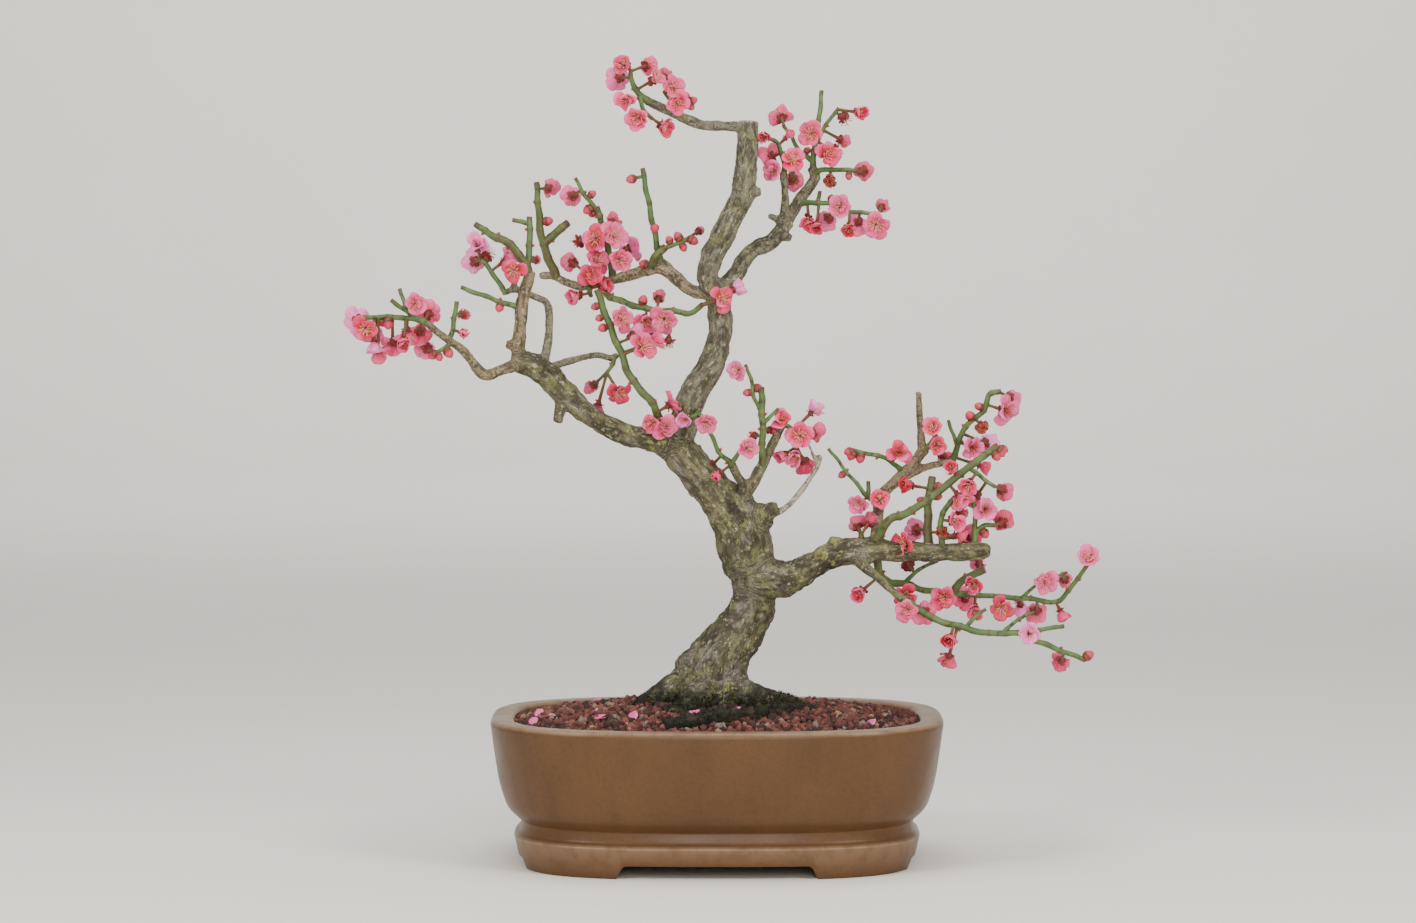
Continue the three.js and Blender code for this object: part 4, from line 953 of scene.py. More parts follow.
SPRAYS = {
    "far_left_tip": Spray(Region.FAR_LEFT, [
        [(-205, 379, -68, 4.4), (-214, 381, -71, 3.8), (-225, 382, -73, 3.6), (-248, 382, -76, 3)],
        [(-211, 381, -70, 3.6), (-217, 386, -72, 3.4), (-228, 394, -75, 3)],
        [(-217, 386, -72, 3.2), (-222, 402, -70, 2.8)]],
        open=[(-251, 380), (-246, 375, 8), (-227, 364), (-212, 391, 9), (-202, 384), (-217, 375),
        (-208, 372)], cup=[(-239, 373), (-240, 365), (-237, 359), (-219, 366)], buds=[(-234, 379),
        (-230, 378)]),
    "far_left_low": Spray(Region.FAR_LEFT, [
        [(-186, 364, -63, 3.8), (-191, 360, -66, 3.2), (-197, 357, -68, 2.6)]],
        open=[(-203, 360)], buds=[(-199, 355), (-194, 353), (-188, 357)]),
    "far_left_mid": Spray(Region.FAR_LEFT, [
        [(-188, 366, -63, 4), (-185, 373, -62, 3.6), (-182, 393, -59, 3.2)]],
        cup=[(-178, 384)], tight=[(-178, 371)]),
    "left_elbow": Spray(Region.FAR_LEFT, [
        [(-148, 398, -12, 4), (-155, 410, -10, 3.6), (-162, 419, -8, 3.4), (-167, 423, -8, 3)]],
        open=[(-169, 421), (-167, 431), (-149, 421)], spent=[(-161, 424)]),
    "left_stub_low": Spray(Region.FAR_LEFT, [
        [(-137, 388, -34, 4.4), (-152, 393, -38, 3.6), (-166, 398, -42, 3.4), (-179, 403, -45, 3)]],
        buds=[(-152, 389)]),
    "left_stub_top": Spray(Region.LEFT, [
        [(-131, 411, -27, 7), (-137, 424, -30, 6.5), (-148, 435, -34, 6), (-159, 440, -38, 5),
         (-169, 447, -42, 4.2)],
        [(-133, 417, -28, 5), (-131, 430, -25, 4.6), (-131, 445, -23, 4.4), (-131, 452, -22, 4)],
        [(-131, 447, -23, 3.6), (-143, 450, -25, 3)]],
        open=[(-141, 415, 8)], tight=[(-127, 422)]),
    "left_rear": Spray(Region.LEFT, [
        [(-112, 409, 41, 7), (-118, 424, 38, 6.5), (-123, 440, 34, 6), (-126, 476, 26, 4.2)],
        [(-120, 434, 36, 6), (-110, 443, 34, 5.8), (-104, 448, 32, 5.4)]],
        cup=[(-118, 472)], buds=[(-119, 449)]),
    "left_inner": Spray(Region.LEFT, [
        [(-73, 408, 30, 5.8), (-75, 424, 26, 5.2), (-79, 440, 21.5, 4.9), (-84, 459, 17, 4.6)],
        [(-84, 456, 18, 3.4), (-94, 470, 14, 3), (-99, 479, 12, 2.6)]],
        open=[(-101, 467), (-73, 438, 8), (-62, 429), (-69, 422), (-84, 437, 7)], cup=[(-73, 448)],
        spent=[(-96, 435)], buds=[(-87, 468), (-93, 455), (-86, 455)]),
    "left_inner_low": Spray(Region.LEFT, [
        [(-89, 404, 33, 4.6), (-90, 411, 27, 3.6), (-95, 416, 23, 3)]],
        open=[(-101, 420), (-85, 420, 6), (-88, 411, 8)]),
    "left_inner_under": Spray(Region.LEFT, [
        [(-90, 405, 34, 4.4), (-89, 399, 27, 3.6), (-88, 397, 23, 3.2)]],
        cup=[(-81, 404, 5), (-97, 397, 5)]),
    "cluster_upright": Spray(Region.LEFT, [
        [(-39, 416, 19, 5.4), (-42, 433, 15, 4.4), (-46, 453, 11, 4), (-50, 474, 7, 3.8), (-52, 486, 6, 3.4)],
        [(-52, 480, 7, 2.6), (-58, 479, 6, 2.2)]],
        buds=[(-61, 478), (-44, 444)]),
    "cluster_side": Spray(Region.LEFT, [
        [(-46, 416, 20, 6.2), (-44, 423, 10, 5.8), (-36, 431, 6, 5.4)],
        [(-37, 430, 6, 3.4), (-26, 434, 5, 2.8), (-19, 438, 4, 2.6)]],
        tight=[(-13, 442)], buds=[(-32, 432), (-27, 438), (-22, 428), (-14, 434), (-51, 419)]),
    "front_riser": Spray(Region.CENTRE, [
        [(-37, 304, -6, 6.4), (-42, 315, -18, 5.8), (-47, 324, -24, 5.6), (-60, 339, -28, 5.4),
         (-66, 354, -28, 5.2), (-75, 376, -26, 5), (-84, 401, -20, 4.6)]],
        open=[(-68, 380, 7), (-59, 368), (-53, 361), (-43, 309, 6), (-36, 305, 8), (-34, 320, -1)],
        cup=[(-46, 365)], buds=[(-86, 389), (-83, 381), (-78, 375, 6)]),
    "centre_bridge": Spray(Region.CENTRE, [
        [(-81, 403, 32, 5.2), (-74, 396, 20, 5), (-50, 388, 1, 4.6), (-29, 386, -6, 4.4), (-18, 385, -10, 4),
         (-10, 391, -14, 3.6)]],
        open=[(-50, 380, 5), (-37, 381, 8), (-47, 371), (2, 394, 9)], cup=[(11, 401), (-41, 395)],
        spent=[(-34, 365)], buds=[(-52, 393)]),
    "left_limb_low": Spray(Region.CENTRE, [
        [(-72, 354, 4, 3.6), (-73, 349, 2, 3), (-78, 342, -2, 2.8)]],
        open=[(-70, 331, 7)], cup=[(-86, 335), (-83, 321)]),
    "fork_right": Spray(Region.CENTRE, [
        [(-15, 316, -4, 5), (-13, 314, -15, 3.8), (-8, 311, -19, 3)],
        [(-13, 314, -15, 3.6), (-20, 311, -17, 3)]],
        open=[(-8, 309, 7)], cup=[(-22, 310, 7)]),
    "elbow_left": Spray(Region.CENTRE, [
        [(11, 277, -14, 5), (8, 281, -16, 3.8), (2, 287, -18, 3.4), (-6, 303, -22, 3)],
        [(10, 279, -15, 3.4), (17, 290, -17, 2.8)]],
        open=[(20, 290, 6)], tight=[(-3, 279), (1, 272)]),
    "elbow_upright": Spray(Region.CENTRE, [
        [(32, 278, -8, 5.4), (31.5, 288, -11, 5), (32, 302, -13, 4.8), (31, 333, -17, 4.6)],
        [(31.5, 314, -14, 3.4), (26, 326, -17, 3), (24, 337, -19, 2.8), (20, 349, -20, 2.6)],
        [(32, 307, -13, 3), (43, 318, -11, 2.4)]],
        open=[(16, 345, 5)], tight=[(26, 299), (37, 303, -6)], buds=[(21, 329), (27, 332)]),
    "elbow_right": Spray(Region.CENTRE, [
        [(42.5, 300, -1, 5.2), (47, 306, 2, 4), (54, 303, 4, 3.4), (61, 296, 5, 3)],
        [(53, 303, 4, 3.2), (56, 290, 5, 2.8)]],
        open=[(46, 309, 6), (58, 299, 7), (67, 300)], cup=[(48, 286, 5), (61, 281), (54, 285, 9), (66, 315)]),
    "crown_left_tip": Spray(Region.CROWN, [
        [(-46, 531.5, -31, 5.8), (-53, 536, -35, 5), (-60, 548, -38, 3.3), (-60, 555, -39, 2.6)],
        [(-54, 536.5, -35, 3.8), (-52, 528, -41, 3.2), (-45, 520, -42, 2.8)]],
        open=[(-68, 549), (-64, 557), (-50, 557), (-45, 547, 6), (-62, 533), (-53, 522, 5)],
        cup=[(-39, 516, 4)]),
    "crown_left_mid": Spray(Region.CROWN, [
        [(-31, 525, -24, 4.8), (-32, 532, -28, 3.6), (-37, 540, -31, 3)],
        [(-32, 531, -28, 3), (-19, 532, -29, 2.4)]],
        open=[(-31, 541, 6), (-28, 531, 8)], cup=[(-36, 549)], buds=[(-22, 540), (-17, 533), (-17, 527)]),
    "crown_right_tips": Spray(Region.CROWN, [
        [(67, 483, 51, 5.4), (67, 491, 52, 4.2), (71, 519, 54, 3.6), (73, 540, 56, 3)],
        [(67, 490, 52, 3.8), (58, 498, 50, 3.2), (51, 509, 48, 2.8), (46, 516, 46, 2.6)],
        [(68.5, 502, 53, 3.4), (76, 516, 52, 2.8), (85, 528, 50, 2.6)]],
        open=[(45, 521), (66, 510, 10), (76, 495, 8)], cup=[(86, 506), (98, 525)], spent=[(88, 521),
        (82, 498)], buds=[(62, 497)]),
    "crown_right_side": Spray(Region.CROWN, [
        [(67, 481, 50, 4.8), (75, 485, 46, 3.6), (98, 484, 42, 3.2)]],
        open=[(102, 484)], spent=[(79, 477)], buds=[(92, 479)]),
    "crown_right_inner": Spray(Region.CROWN, [
        [(46, 481, 20, 5.2), (47, 488, 20, 3.8), (43, 502, 18, 3), (36, 507, 16, 2.6)],
        [(46.5, 489, 20, 3.2), (54, 482, 24, 2.8)]],
        open=[(52, 491, 7), (41, 495, -3), (40, 484, 8), (53, 478)], cup=[(33, 507)], tight=[(48, 507)]),
    "crown_right_low": Spray(Region.CROWN, [
        [(55, 461, 40, 5.2), (66, 462, 36, 3.8), (79, 461, 34, 3.4), (90, 456, 32, 3.2), (114, 454, 30, 2.8)],
        [(70, 462, 36, 3.2), (72, 470, 35, 2.8)]],
        open=[(64, 451, 5), (78, 451), (86, 459, 8), (99, 448), (111, 447)], cup=[(70, 447), (92, 445),
        (115, 459)], buds=[(80, 466)]),
    "riser_left": Spray(Region.RISER, [
        [(131, 273, 10, 4.6), (124, 279, 4, 3.6), (119, 283, 0, 3.4), (95, 289, -6, 3)]],
        open=[(127, 286, 6)], buds=[(92, 281), (82, 285), (100, 281)]),
    "riser_low": Spray(Region.RISER, [
        [(114, 250, -1, 4.4), (106, 256, -8, 3.4), (93, 271, -11, 2.8), (78, 290, -13, 2.4)],
        [(106, 256, -8, 3.4), (106, 267, -9, 3)]],
        open=[(101, 252, 6), (114, 253, 9)], buds=[(87, 271)]),
    "limb_top": Spray(Region.RISER, [
        [(101, 222, -17, 5), (101, 231, -20, 3.6)]],
        cup=[(99, 235), (106, 237, -5)]),
    "riser_tip": Spray(Region.RISER, [
        [(145, 288, 17, 5), (150, 294, 13, 3.8), (154, 300, 11, 3.2)]],
        open=[(152, 303, 5), (153, 292, 7)], cup=[(158, 285)]),
    "riser_right": Spray(Region.RISER, [
        [(165, 281, 27, 5.2), (168, 290, 25, 4.4), (174, 305, 22, 4.2), (188, 317, 20, 4)],
        [(187, 316, 20, 4.2), (191, 328, 18, 4.2), (199, 330, 17, 4)],
        [(168, 292, 25, 3), (162, 310, 24, 2.4)]],
        open=[(178, 291, 8), (188, 294), (200, 317, 6)], cup=[(205, 326), (184, 278)], spent=[(186, 305)],
        buds=[(182, 320), (178, 312)]),
    "limb_front": Spray(Region.RISER, [
        [(112, 226, -23, 6.4), (121, 240, -31, 6), (132, 244, -35, 5.8), (152, 257, -35, 5.4),
         (174, 275, -31, 5.2), (197, 292, -27, 5)],
        [(177, 276, -30, 3.2), (195, 263, -32, 2.6)]],
        open=[(177, 266, 6), (169, 257, 4), (200, 261)], cup=[(182, 257), (166, 274, 5)], buds=[(197, 283),
        (203, 287), (209, 286), (206, 279)]),
    "limb_upright": Spray(Region.RISER, [
        [(148, 218, -22, 7), (148, 238, -14, 6), (148, 252, -8, 5.8), (151, 270, -2, 5.4)]],
        open=[(140, 233), (133, 223, 5)], cup=[(136, 264)], spent=[(158, 231)], buds=[(140, 254), (155, 263),
        (158, 256)]),
    "limb_forked": Spray(Region.RISER, [
        [(158, 219, -26, 4.6), (157, 232, -29, 4.2), (158, 244, -31, 4), (167, 256, -33, 3.8)]],
        open=[(165, 239, 6), (175, 228)], cup=[(167, 229), (170, 246)]),
    "limb_tip": Spray(Region.RISER, [
        [(180, 219, -26, 4.6), (181, 232, -25, 3.8), (181, 245, -24, 3.6), (179, 256, -23, 3.4)],
        [(181, 231, -25, 3.6), (188, 236, -27, 3.4), (195, 236, -28, 3.2)]],
        open=[(187, 247, 6), (200, 238)], buds=[(190, 227)]),
    "low_right_inner": Spray(Region.LIMB, [
        [(111, 216, -16, 6.4), (115, 201, -8, 5.8), (121, 196, 0, 5.4), (132, 195, 6, 5), (149, 190, 12, 4.6),
         (196, 186, 20, 3.8)],
        [(131, 195, 5, 3.4), (142, 205, 2, 2.8), (155, 211, 0, 2.4)],
        [(165, 188, 15, 5.6), (172, 197, 12, 5.6), (188, 205, 9, 5.4)]],
        open=[(133, 188, 6), (160, 186, 8), (174, 185)], cup=[(102, 190), (179, 195), (184, 209), (181, 178)],
        spent=[(134, 208)]),
    "low_right_outer": Spray(Region.LIMB, [
        [(194, 186, 20, 4), (222, 184, 20, 3.6), (238, 182, 18, 3.5), (246, 189, 16, 3.5), (260, 208, 12, 3)],
        [(214, 185, 20, 2.8), (226, 195, 22, 2.2), (246, 203, 24, 2)]],
        open=[(200, 179, 8), (224, 176), (230, 196), (260, 210, 4)], cup=[(213, 182), (240, 178),
        (244, 198)]),
    "low_right_front": Spray(Region.LIMB, [
        [(128, 186, -41, 5.4), (142, 177, -44, 5), (153, 170, -46, 4.8), (177, 163, -49, 4.5),
         (191, 160, -50, 4.3), (212, 160, -50, 4.2), (226, 154, -48, 4), (259, 141, -44, 3.4)],
        [(210, 160, -50, 3.6), (230, 163, -52, 3.2), (244, 165, -54, 3)],
        [(174, 163.5, -49, 3), (183, 173, -51, 2.6), (189, 177, -52, 2.4)],
        [(200, 160, -50, 3), (212, 170, -52, 2.4), (223, 175, -53, 2.2)]],
        open=[(135, 178, 6), (146, 175), (219, 160, 7)], cup=[(164, 157), (163, 144), (242, 141)],
        buds=[(262, 145)]),
}


def store(mesh: Mesh, name: str, values: np.ndarray) -> None:
    """Store a number or a vector at each corner of a mesh.

    Args:
        mesh: The mesh.
        name: The name to store them under.
        values: A row for each corner; whole numbers are kept whole.
    """
    sort, key, kind = "FLOAT", "value", np.float32
    if values.ndim == 2:
        sort, key = "FLOAT_VECTOR", "vector"
    elif values.dtype.kind == "i":
        sort, kind = "INT", np.int32
    mesh.attributes.new(name, sort, "POINT").data.foreach_set(key, values.astype(kind).ravel())


def read(mesh: Mesh, name: str) -> np.ndarray:
    """Read what is stored at each corner of a mesh.

    Args:
        mesh: The mesh.
        name: The name it is stored under.

    Returns:
        A row of numbers for each corner.
    """
    layer = mesh.attributes[name]
    key, width = ("vector", 3) if layer.data_type == "FLOAT_VECTOR" else ("value", 1)
    values = np.zeros(len(layer.data) * width, np.float32)
    layer.data.foreach_get(key, values)
    return values.reshape(-1, width).astype(float)


def link(name: str, data: bpy.types.ID) -> Piece:
    """Put a mesh, a light or a camera in the scene.

    Args:
        name: The name of its object.
        data: The mesh, light or camera.

    Returns:
        The object.
    """
    piece = bpy.data.objects.new(name, data)
    bpy.context.scene.collection.objects.link(piece)
    return piece


def new_piece(name: str, places: np.ndarray, edges: Pairs, faces: Faces, values: Values) -> Piece:
    """Make a mesh and its object.

    Args:
        name: The name of both.
        places: The place of each corner, in metres.
        edges: Pairs of corners to join where there is no face.
        faces: The corners of each face.
        values: What is stored at each corner, by name.

    Returns:
        The new object, linked to the scene.
    """
    mesh = bpy.data.meshes.new(name)
    mesh.from_pydata(places.tolist(), edges, faces)
    for label, numbers in values.items():
        store(mesh, label, numbers)
    return link(name, mesh)


def pairs(count: int) -> Pairs:
    """Give each number below a count with the next one round."""
    return [(i, (i + 1) % count) for i in range(count)]


def angles(count: int) -> np.ndarray:
    """Give evenly spaced angles round a circle."""
    return np.arange(count) * 2 * np.pi / count


def ramp(values: np.ndarray, start: float, end: float) -> np.ndarray:
    """Give 0 up to a start, 1 from an end on and an even climb between them."""
    return np.clip((values - start) / (end - start), 0, 1)


def lathed(profile: Sequence[Place], count: int) -> np.ndarray:
    """Give rings of corners about the vertical axis, from the radius and height of each."""
    return np.array([(r * math.cos(a), r * math.sin(a), z) for r, z in profile for a in angles(count)])


def ring_faces(rings: int, count: int) -> Faces:
    """Give the faces between rings of corners, each ring further on than the one before."""
    lows = range(0, (rings - 1) * count, count)
    return [(low + i, low + j, low + count + j, low + count + i) for low in lows for i, j in pairs(count)]


def closed_faces(rings: int, count: int) -> Faces:
    """Give the faces of a closed body made of rings of corners."""
    last = (rings - 1) * count
    return [tuple(range(count - 1, -1, -1)), tuple(range(last, last + count)), *ring_faces(rings, count)]


@dataclass
class Shape:
    """Corners and faces on their way to a mesh, with a value at each corner for each name."""

    corners: list[np.ndarray] = field(default_factory=list)
    faces: Faces = field(default_factory=list)
    values: dict[str, list[np.ndarray]] = field(default_factory=dict)
    count: int = 0

    def add(self, corners: np.ndarray, faces: Faces, **values: object) -> None:
        """Add a part.

        Args:
            corners: Its corners, one row each.
            faces: Its faces, as rows of its own corners.
            values: A number or an array of one number a corner, by name.
        """
        self.corners.append(np.asarray(corners, float))
        self.faces.extend(tuple(int(i) + self.count for i in face) for face in faces)
        for name in dict.fromkeys((*self.values, *values)):
            parts = self.values.setdefault(name, [np.zeros(self.count)])
            parts.append(np.broadcast_to(np.asarray(values.get(name, 0.0), float), (len(corners),)))
        self.count += len(corners)

    def to_object(self, name: str, outward: bool = True) -> Piece:
        """Make the mesh and its object.

        Args:
            name: The name of both.
            outward: Whether its faces are turned outwards.

        Returns:
            The object.
        """
        values = {label: np.concatenate(parts) for label, parts in self.values.items()}
        piece = new_piece(name, np.concatenate(self.corners), [], self.faces, values)
        if outward:
            work = bmesh.new()
            work.from_mesh(piece.data)
            bmesh.ops.recalc_face_normals(work, faces=work.faces)
            work.to_mesh(piece.data)
            work.free()
        piece.data.shade_smooth()
        return piece


def paths_object(name: str, paths: Sequence[Values]) -> Piece:
    """Make a mesh of lines along paths.

    Args:
        name: The object's name.
        paths: Each path's points under "place", and a value a point under each other name.

    Returns:
        The new object.
    """
    values = {label: np.concatenate([path[label] for path in paths]) for label in paths[0]}
    ends = np.cumsum([len(path["place"]) for path in paths]).tolist()
    edges = [(i, i + 1) for i in range(ends[-1] - 1) if i + 1 not in ends]
    return new_piece(name, values.pop("place"), edges, [], values)


def points_object(name: str, rows: Sequence[dict]) -> Piece:
    """Make a mesh of bare points.

    Args:
        name: The object's name.
        rows: For each point, its place in millimetres and its values by name.

    Returns:
        The new object.
    """
    values = {label: np.array([row[label] for row in rows]) for label in rows[0]}
    return new_piece(name, row_points(values.pop("place")), [], [], values)


def settled(source: Piece) -> Piece:
    """Turn an object's modifiers into plain mesh.

    Args:
        source: The object; its own mesh is replaced by the result.

    Returns:
        The same object, without modifiers.
    """
    depsgraph = bpy.context.evaluated_depsgraph_get()
    depsgraph.update()
    evaluated = source.evaluated_get(depsgraph)
    result = bpy.data.meshes.new_from_object(evaluated, preserve_all_data_layers=True, depsgraph=depsgraph)
    source.modifiers.clear()
    old, source.data = source.data, result
    bpy.data.meshes.remove(old)
    result.name = source.name
    return source


def grown(source: Piece, tree: str, values: dict[str, object]) -> Piece:
    """Run a geometry tree on an object and keep its result as plain mesh.

    Args:
        source: The object.
        tree: Which of the trees.
        values: What goes into the tree's inputs, by name.

    Returns:
        The same object, grown.
    """
    modifier = source.modifiers.new(tree, "NODES")
    modifier.node_group = TREES[tree]
    for item in modifier.node_group.interface.items_tree:
        if item.item_type == "SOCKET" and item.in_out == "INPUT" and item.name in values:
            modifier[item.identifier] = values[item.name]
    return settled(source)


def collect(name: str, pieces: Sequence[Piece]) -> Forms:
    """Move forms into a collection of their own, in the order of their names.

    Args:
        name: The collection's name.
        pieces: The forms.

    Returns:
        The collection.
    """
    collection = bpy.data.collections.new(name)
    for piece in pieces:
        bpy.context.scene.collection.objects.unlink(piece)
        collection.objects.link(piece)
    return collection


def discard(collection: Forms) -> None:
    """Remove forms once they are set out.

    Args:
        collection: The forms.
    """
    for piece in list(collection.objects):
        bpy.data.meshes.remove(piece.data)
    bpy.data.collections.remove(collection)


def dress(piece: Piece, material: Material) -> Piece:
    """Give a whole piece one material.

    Args:
        piece: The piece.
        material: The material.

    Returns:
        The same piece.
    """
    piece.data.materials.clear()
    piece.data.materials.append(material)
    return piece


def seat(piece: Piece, slot: str, *nodes: str) -> None:
    """Tie a finished piece to the frame.

    Args:
        piece: The piece.
        slot: The record's material slot of its finish; not used.
        nodes: The frame's nodes that it stands for.
    """
    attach(piece, BODY)
    if nodes:
        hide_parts(*nodes)
    LOG.info("%s: %d faces", piece.name, len(piece.data.polygons))


def place_at(x: float, z: float, depth: float) -> Vector:
    """Move a place in the upright plane to its true place at a depth, in millimetres."""
    scale = 1 + depth / EYE_DISTANCE
    return Vector((EYE_X + (x - EYE_X) * scale, depth, EYE_Z + (z - EYE_Z) * scale))


def row_points(places: np.ndarray) -> np.ndarray:
    """Give the row's places in metres of many places in millimetres about the pot."""
    return np.array(ORIGIN) + places * MM


def smooth_path(stations: Stem, step: float) -> tuple[np.ndarray, np.ndarray, np.ndarray]:
    """Run a smooth line through stations.

    Args:
        stations: x, z, depth and diameter at each.
        step: The distance between points, in millimetres.

    Returns:
        The points, the radius at each, and the distance run, in millimetres.
    """
    knots = np.array([place_at(x, z, depth) for x, z, depth, _ in stations])
    radii = np.array([station[3] / 2 for station in stations])
    ends = np.vstack([2 * knots[0] - knots[1], knots, 2 * knots[-1] - knots[-2]])
    places, widths = [], []
    for i in range(1, len(ends) - 2):
        before, start, end, after = ends[i - 1 : i + 3]
        count = max(2, int(round(np.linalg.norm(end - start) / step)))
        share = np.arange(count)[:, None] / count
        square = (2 * before - 5 * start + 4 * end - after) * share**2
        cube = (3 * start - before - 3 * end + after) * share**3
        places.append((2 * start + (end - before) * share + square + cube) / 2)
        widths.append(radii[i - 1] + (radii[i] - radii[i - 1]) * share[:, 0])
    line = np.concatenate([*places, knots[-1:]])
    run = np.concatenate([[0.0], np.cumsum(np.linalg.norm(np.diff(line, axis=0), axis=1))])
    return line, np.concatenate([*widths, radii[-1:]]), run


@dataclass
class Draws:
    """A repeatable row of draws between 0 and 1."""

    state: int

    def next(self) -> float:
        """Draw once."""
        self.state = self.state * 16807 % 2147483647
        return self.state / 2147483647


@dataclass(frozen=True)
class PetalForm:
    """How the petals of a bloom stand, in shares of its radius and in degrees."""

    length: float
    width: float
    rise_start: float
    rise_end: float
    hollow: float
    ruffle: float = 0.04
    thickness: float = 0.03
    middle: float = 0.54
    widening: float = 0.22
    segments: int = 12
    rings: int = 2
    bend_steps: int = 40

    def grid(self) -> tuple[np.ndarray, np.ndarray, np.ndarray]:
        """Lay out the points of the flat petal.

        Returns:
            How far along it and across it each lies, and how near its rim.
        """
        ring = np.repeat(np.arange(1, self.rings + 1) / self.rings, self.segments)
        turns = np.tile(angles(self.segments), self.rings)
        along = self.middle + (1 - self.middle) * ring * np.cos(turns)
        across = 0.5 * self.width * ring * np.sin(turns) * (1 + self.widening * ring * np.cos(turns))
        return np.append(along, self.middle), np.append(across, 0.0), np.append(ring, 0.0)

    def surface(self, lean: float, wave: float, rise: float) -> tuple[np.ndarray, np.ndarray]:
        """Bend the flat petal.

        Args:
            lean: How far one side stands before the other.
            wave: Where the ruffle of the rim starts, in radians.
            rise: Degrees added to the petal's rise.

        Returns:
            The points, with the petal along +X and the bloom's middle at the origin, and the
            direction that faces the bloom's axis at each.
        """
        along, across, ring = self.grid()
        steps = np.linspace(0, 1, self.bend_steps + 1)
        slope = np.radians(self.rise_start + rise + (self.rise_end - self.rise_start) * steps)
        heads = np.stack([np.cos(slope), np.sin(slope)])
        moves = (heads[:, 1:] + heads[:, :-1]) / (2 * self.bend_steps)
        out, up = np.pad(np.cumsum(moves, axis=1), ((0, 0), (1, 0)))
        here = np.interp(along, steps, slope)
        inward = np.stack([-np.sin(here), np.zeros(len(here)), np.cos(here)], axis=1)
        places = (np.interp(along, steps, out), across, np.interp(along, steps, up))
        points = np.stack([self.length * place for place in places], axis=1)
        angle = np.arctan2(across, along - self.middle)
        bend = self.hollow * across**2 + lean * across + self.ruffle * ring**3 * np.sin(3 * angle + wave)
        return points + inward * (self.length * bend)[:, None], inward

    def add_to(self, shape: Shape, turn: float, lift: float, draws: Generator, **values: object) -> None:
        """Add one closed petal to a bloom.

        Args:
            shape: The bloom.
            turn: How far the petal is turned about the bloom's axis, in radians.
            lift: How high it starts.
            draws: Where its own bend comes from.
            values: What else is stored at its corners.
        """
        along, across, _ = self.grid()
        bends = draws.uniform(-0.15, 0.45), SPIN_RANGE * draws.random(), draws.uniform(-20, 20)
        front, inward = self.surface(*bends)
        front = front * draws.uniform(0.8, 1.03)
        count, centre = self.segments, self.segments * self.rings
        start, rim = centre + 1, centre - self.segments
        faces = []
        for i, j in pairs(count):
            faces.append((centre, i, j))
            faces += [(low + i, low + count + i, low + count + j, low + j) for low in range(0, rim, count)]
        faces += [tuple(start + corner for corner in face[::-1]) for face in faces]
        faces += [(rim + i, start + rim + i, start + rim + j, rim + j) for i, j in pairs(count)]
        corners = np.vstack([front, front - inward * self.thickness])
        corners = corners @ np.array(Matrix.Rotation(-turn, 3, "Z"))
        corners[:, 2] += lift
        values["along"] = np.tile(along, 2)
        values["across"] = np.tile(across / self.width, 2) + 3 * draws.random()
        values["tint"] = draws.random()
        shape.add(corners, faces, back=np.repeat([0.0, 1.0], start), **values)


PETAL_FORMS = {
    Kind.OPEN: PetalForm(length=1.06, width=0.92, rise_start=34, rise_end=6, hollow=0.9, ruffle=0.1),
    Kind.CUP: PetalForm(length=1.16, width=0.95, rise_start=24, rise_end=78, hollow=1.1, ruffle=0.08),
    Kind.TIGHT: PetalForm(length=1.32, width=0.95, rise_start=32, rise_end=124, hollow=1.5, ruffle=0.02),
    Kind.SPENT: PetalForm(length=0.95, width=0.42, rise_start=50, rise_end=-60, hollow=0.6, ruffle=0.14),
}
INNER_PETAL = PetalForm(length=0.72, width=0.8, rise_start=52, rise_end=34, hollow=0.9, ruffle=0.07)
LOOSE_PETAL = PetalForm(length=1.0, width=0.95, rise_start=-8, rise_end=24, hollow=0.35)
CALYX_LOBE = PetalForm(length=0.46, width=0.8, rise_start=12, rise_end=12, hollow=0.4, segments=8)
VARIANTS = 6


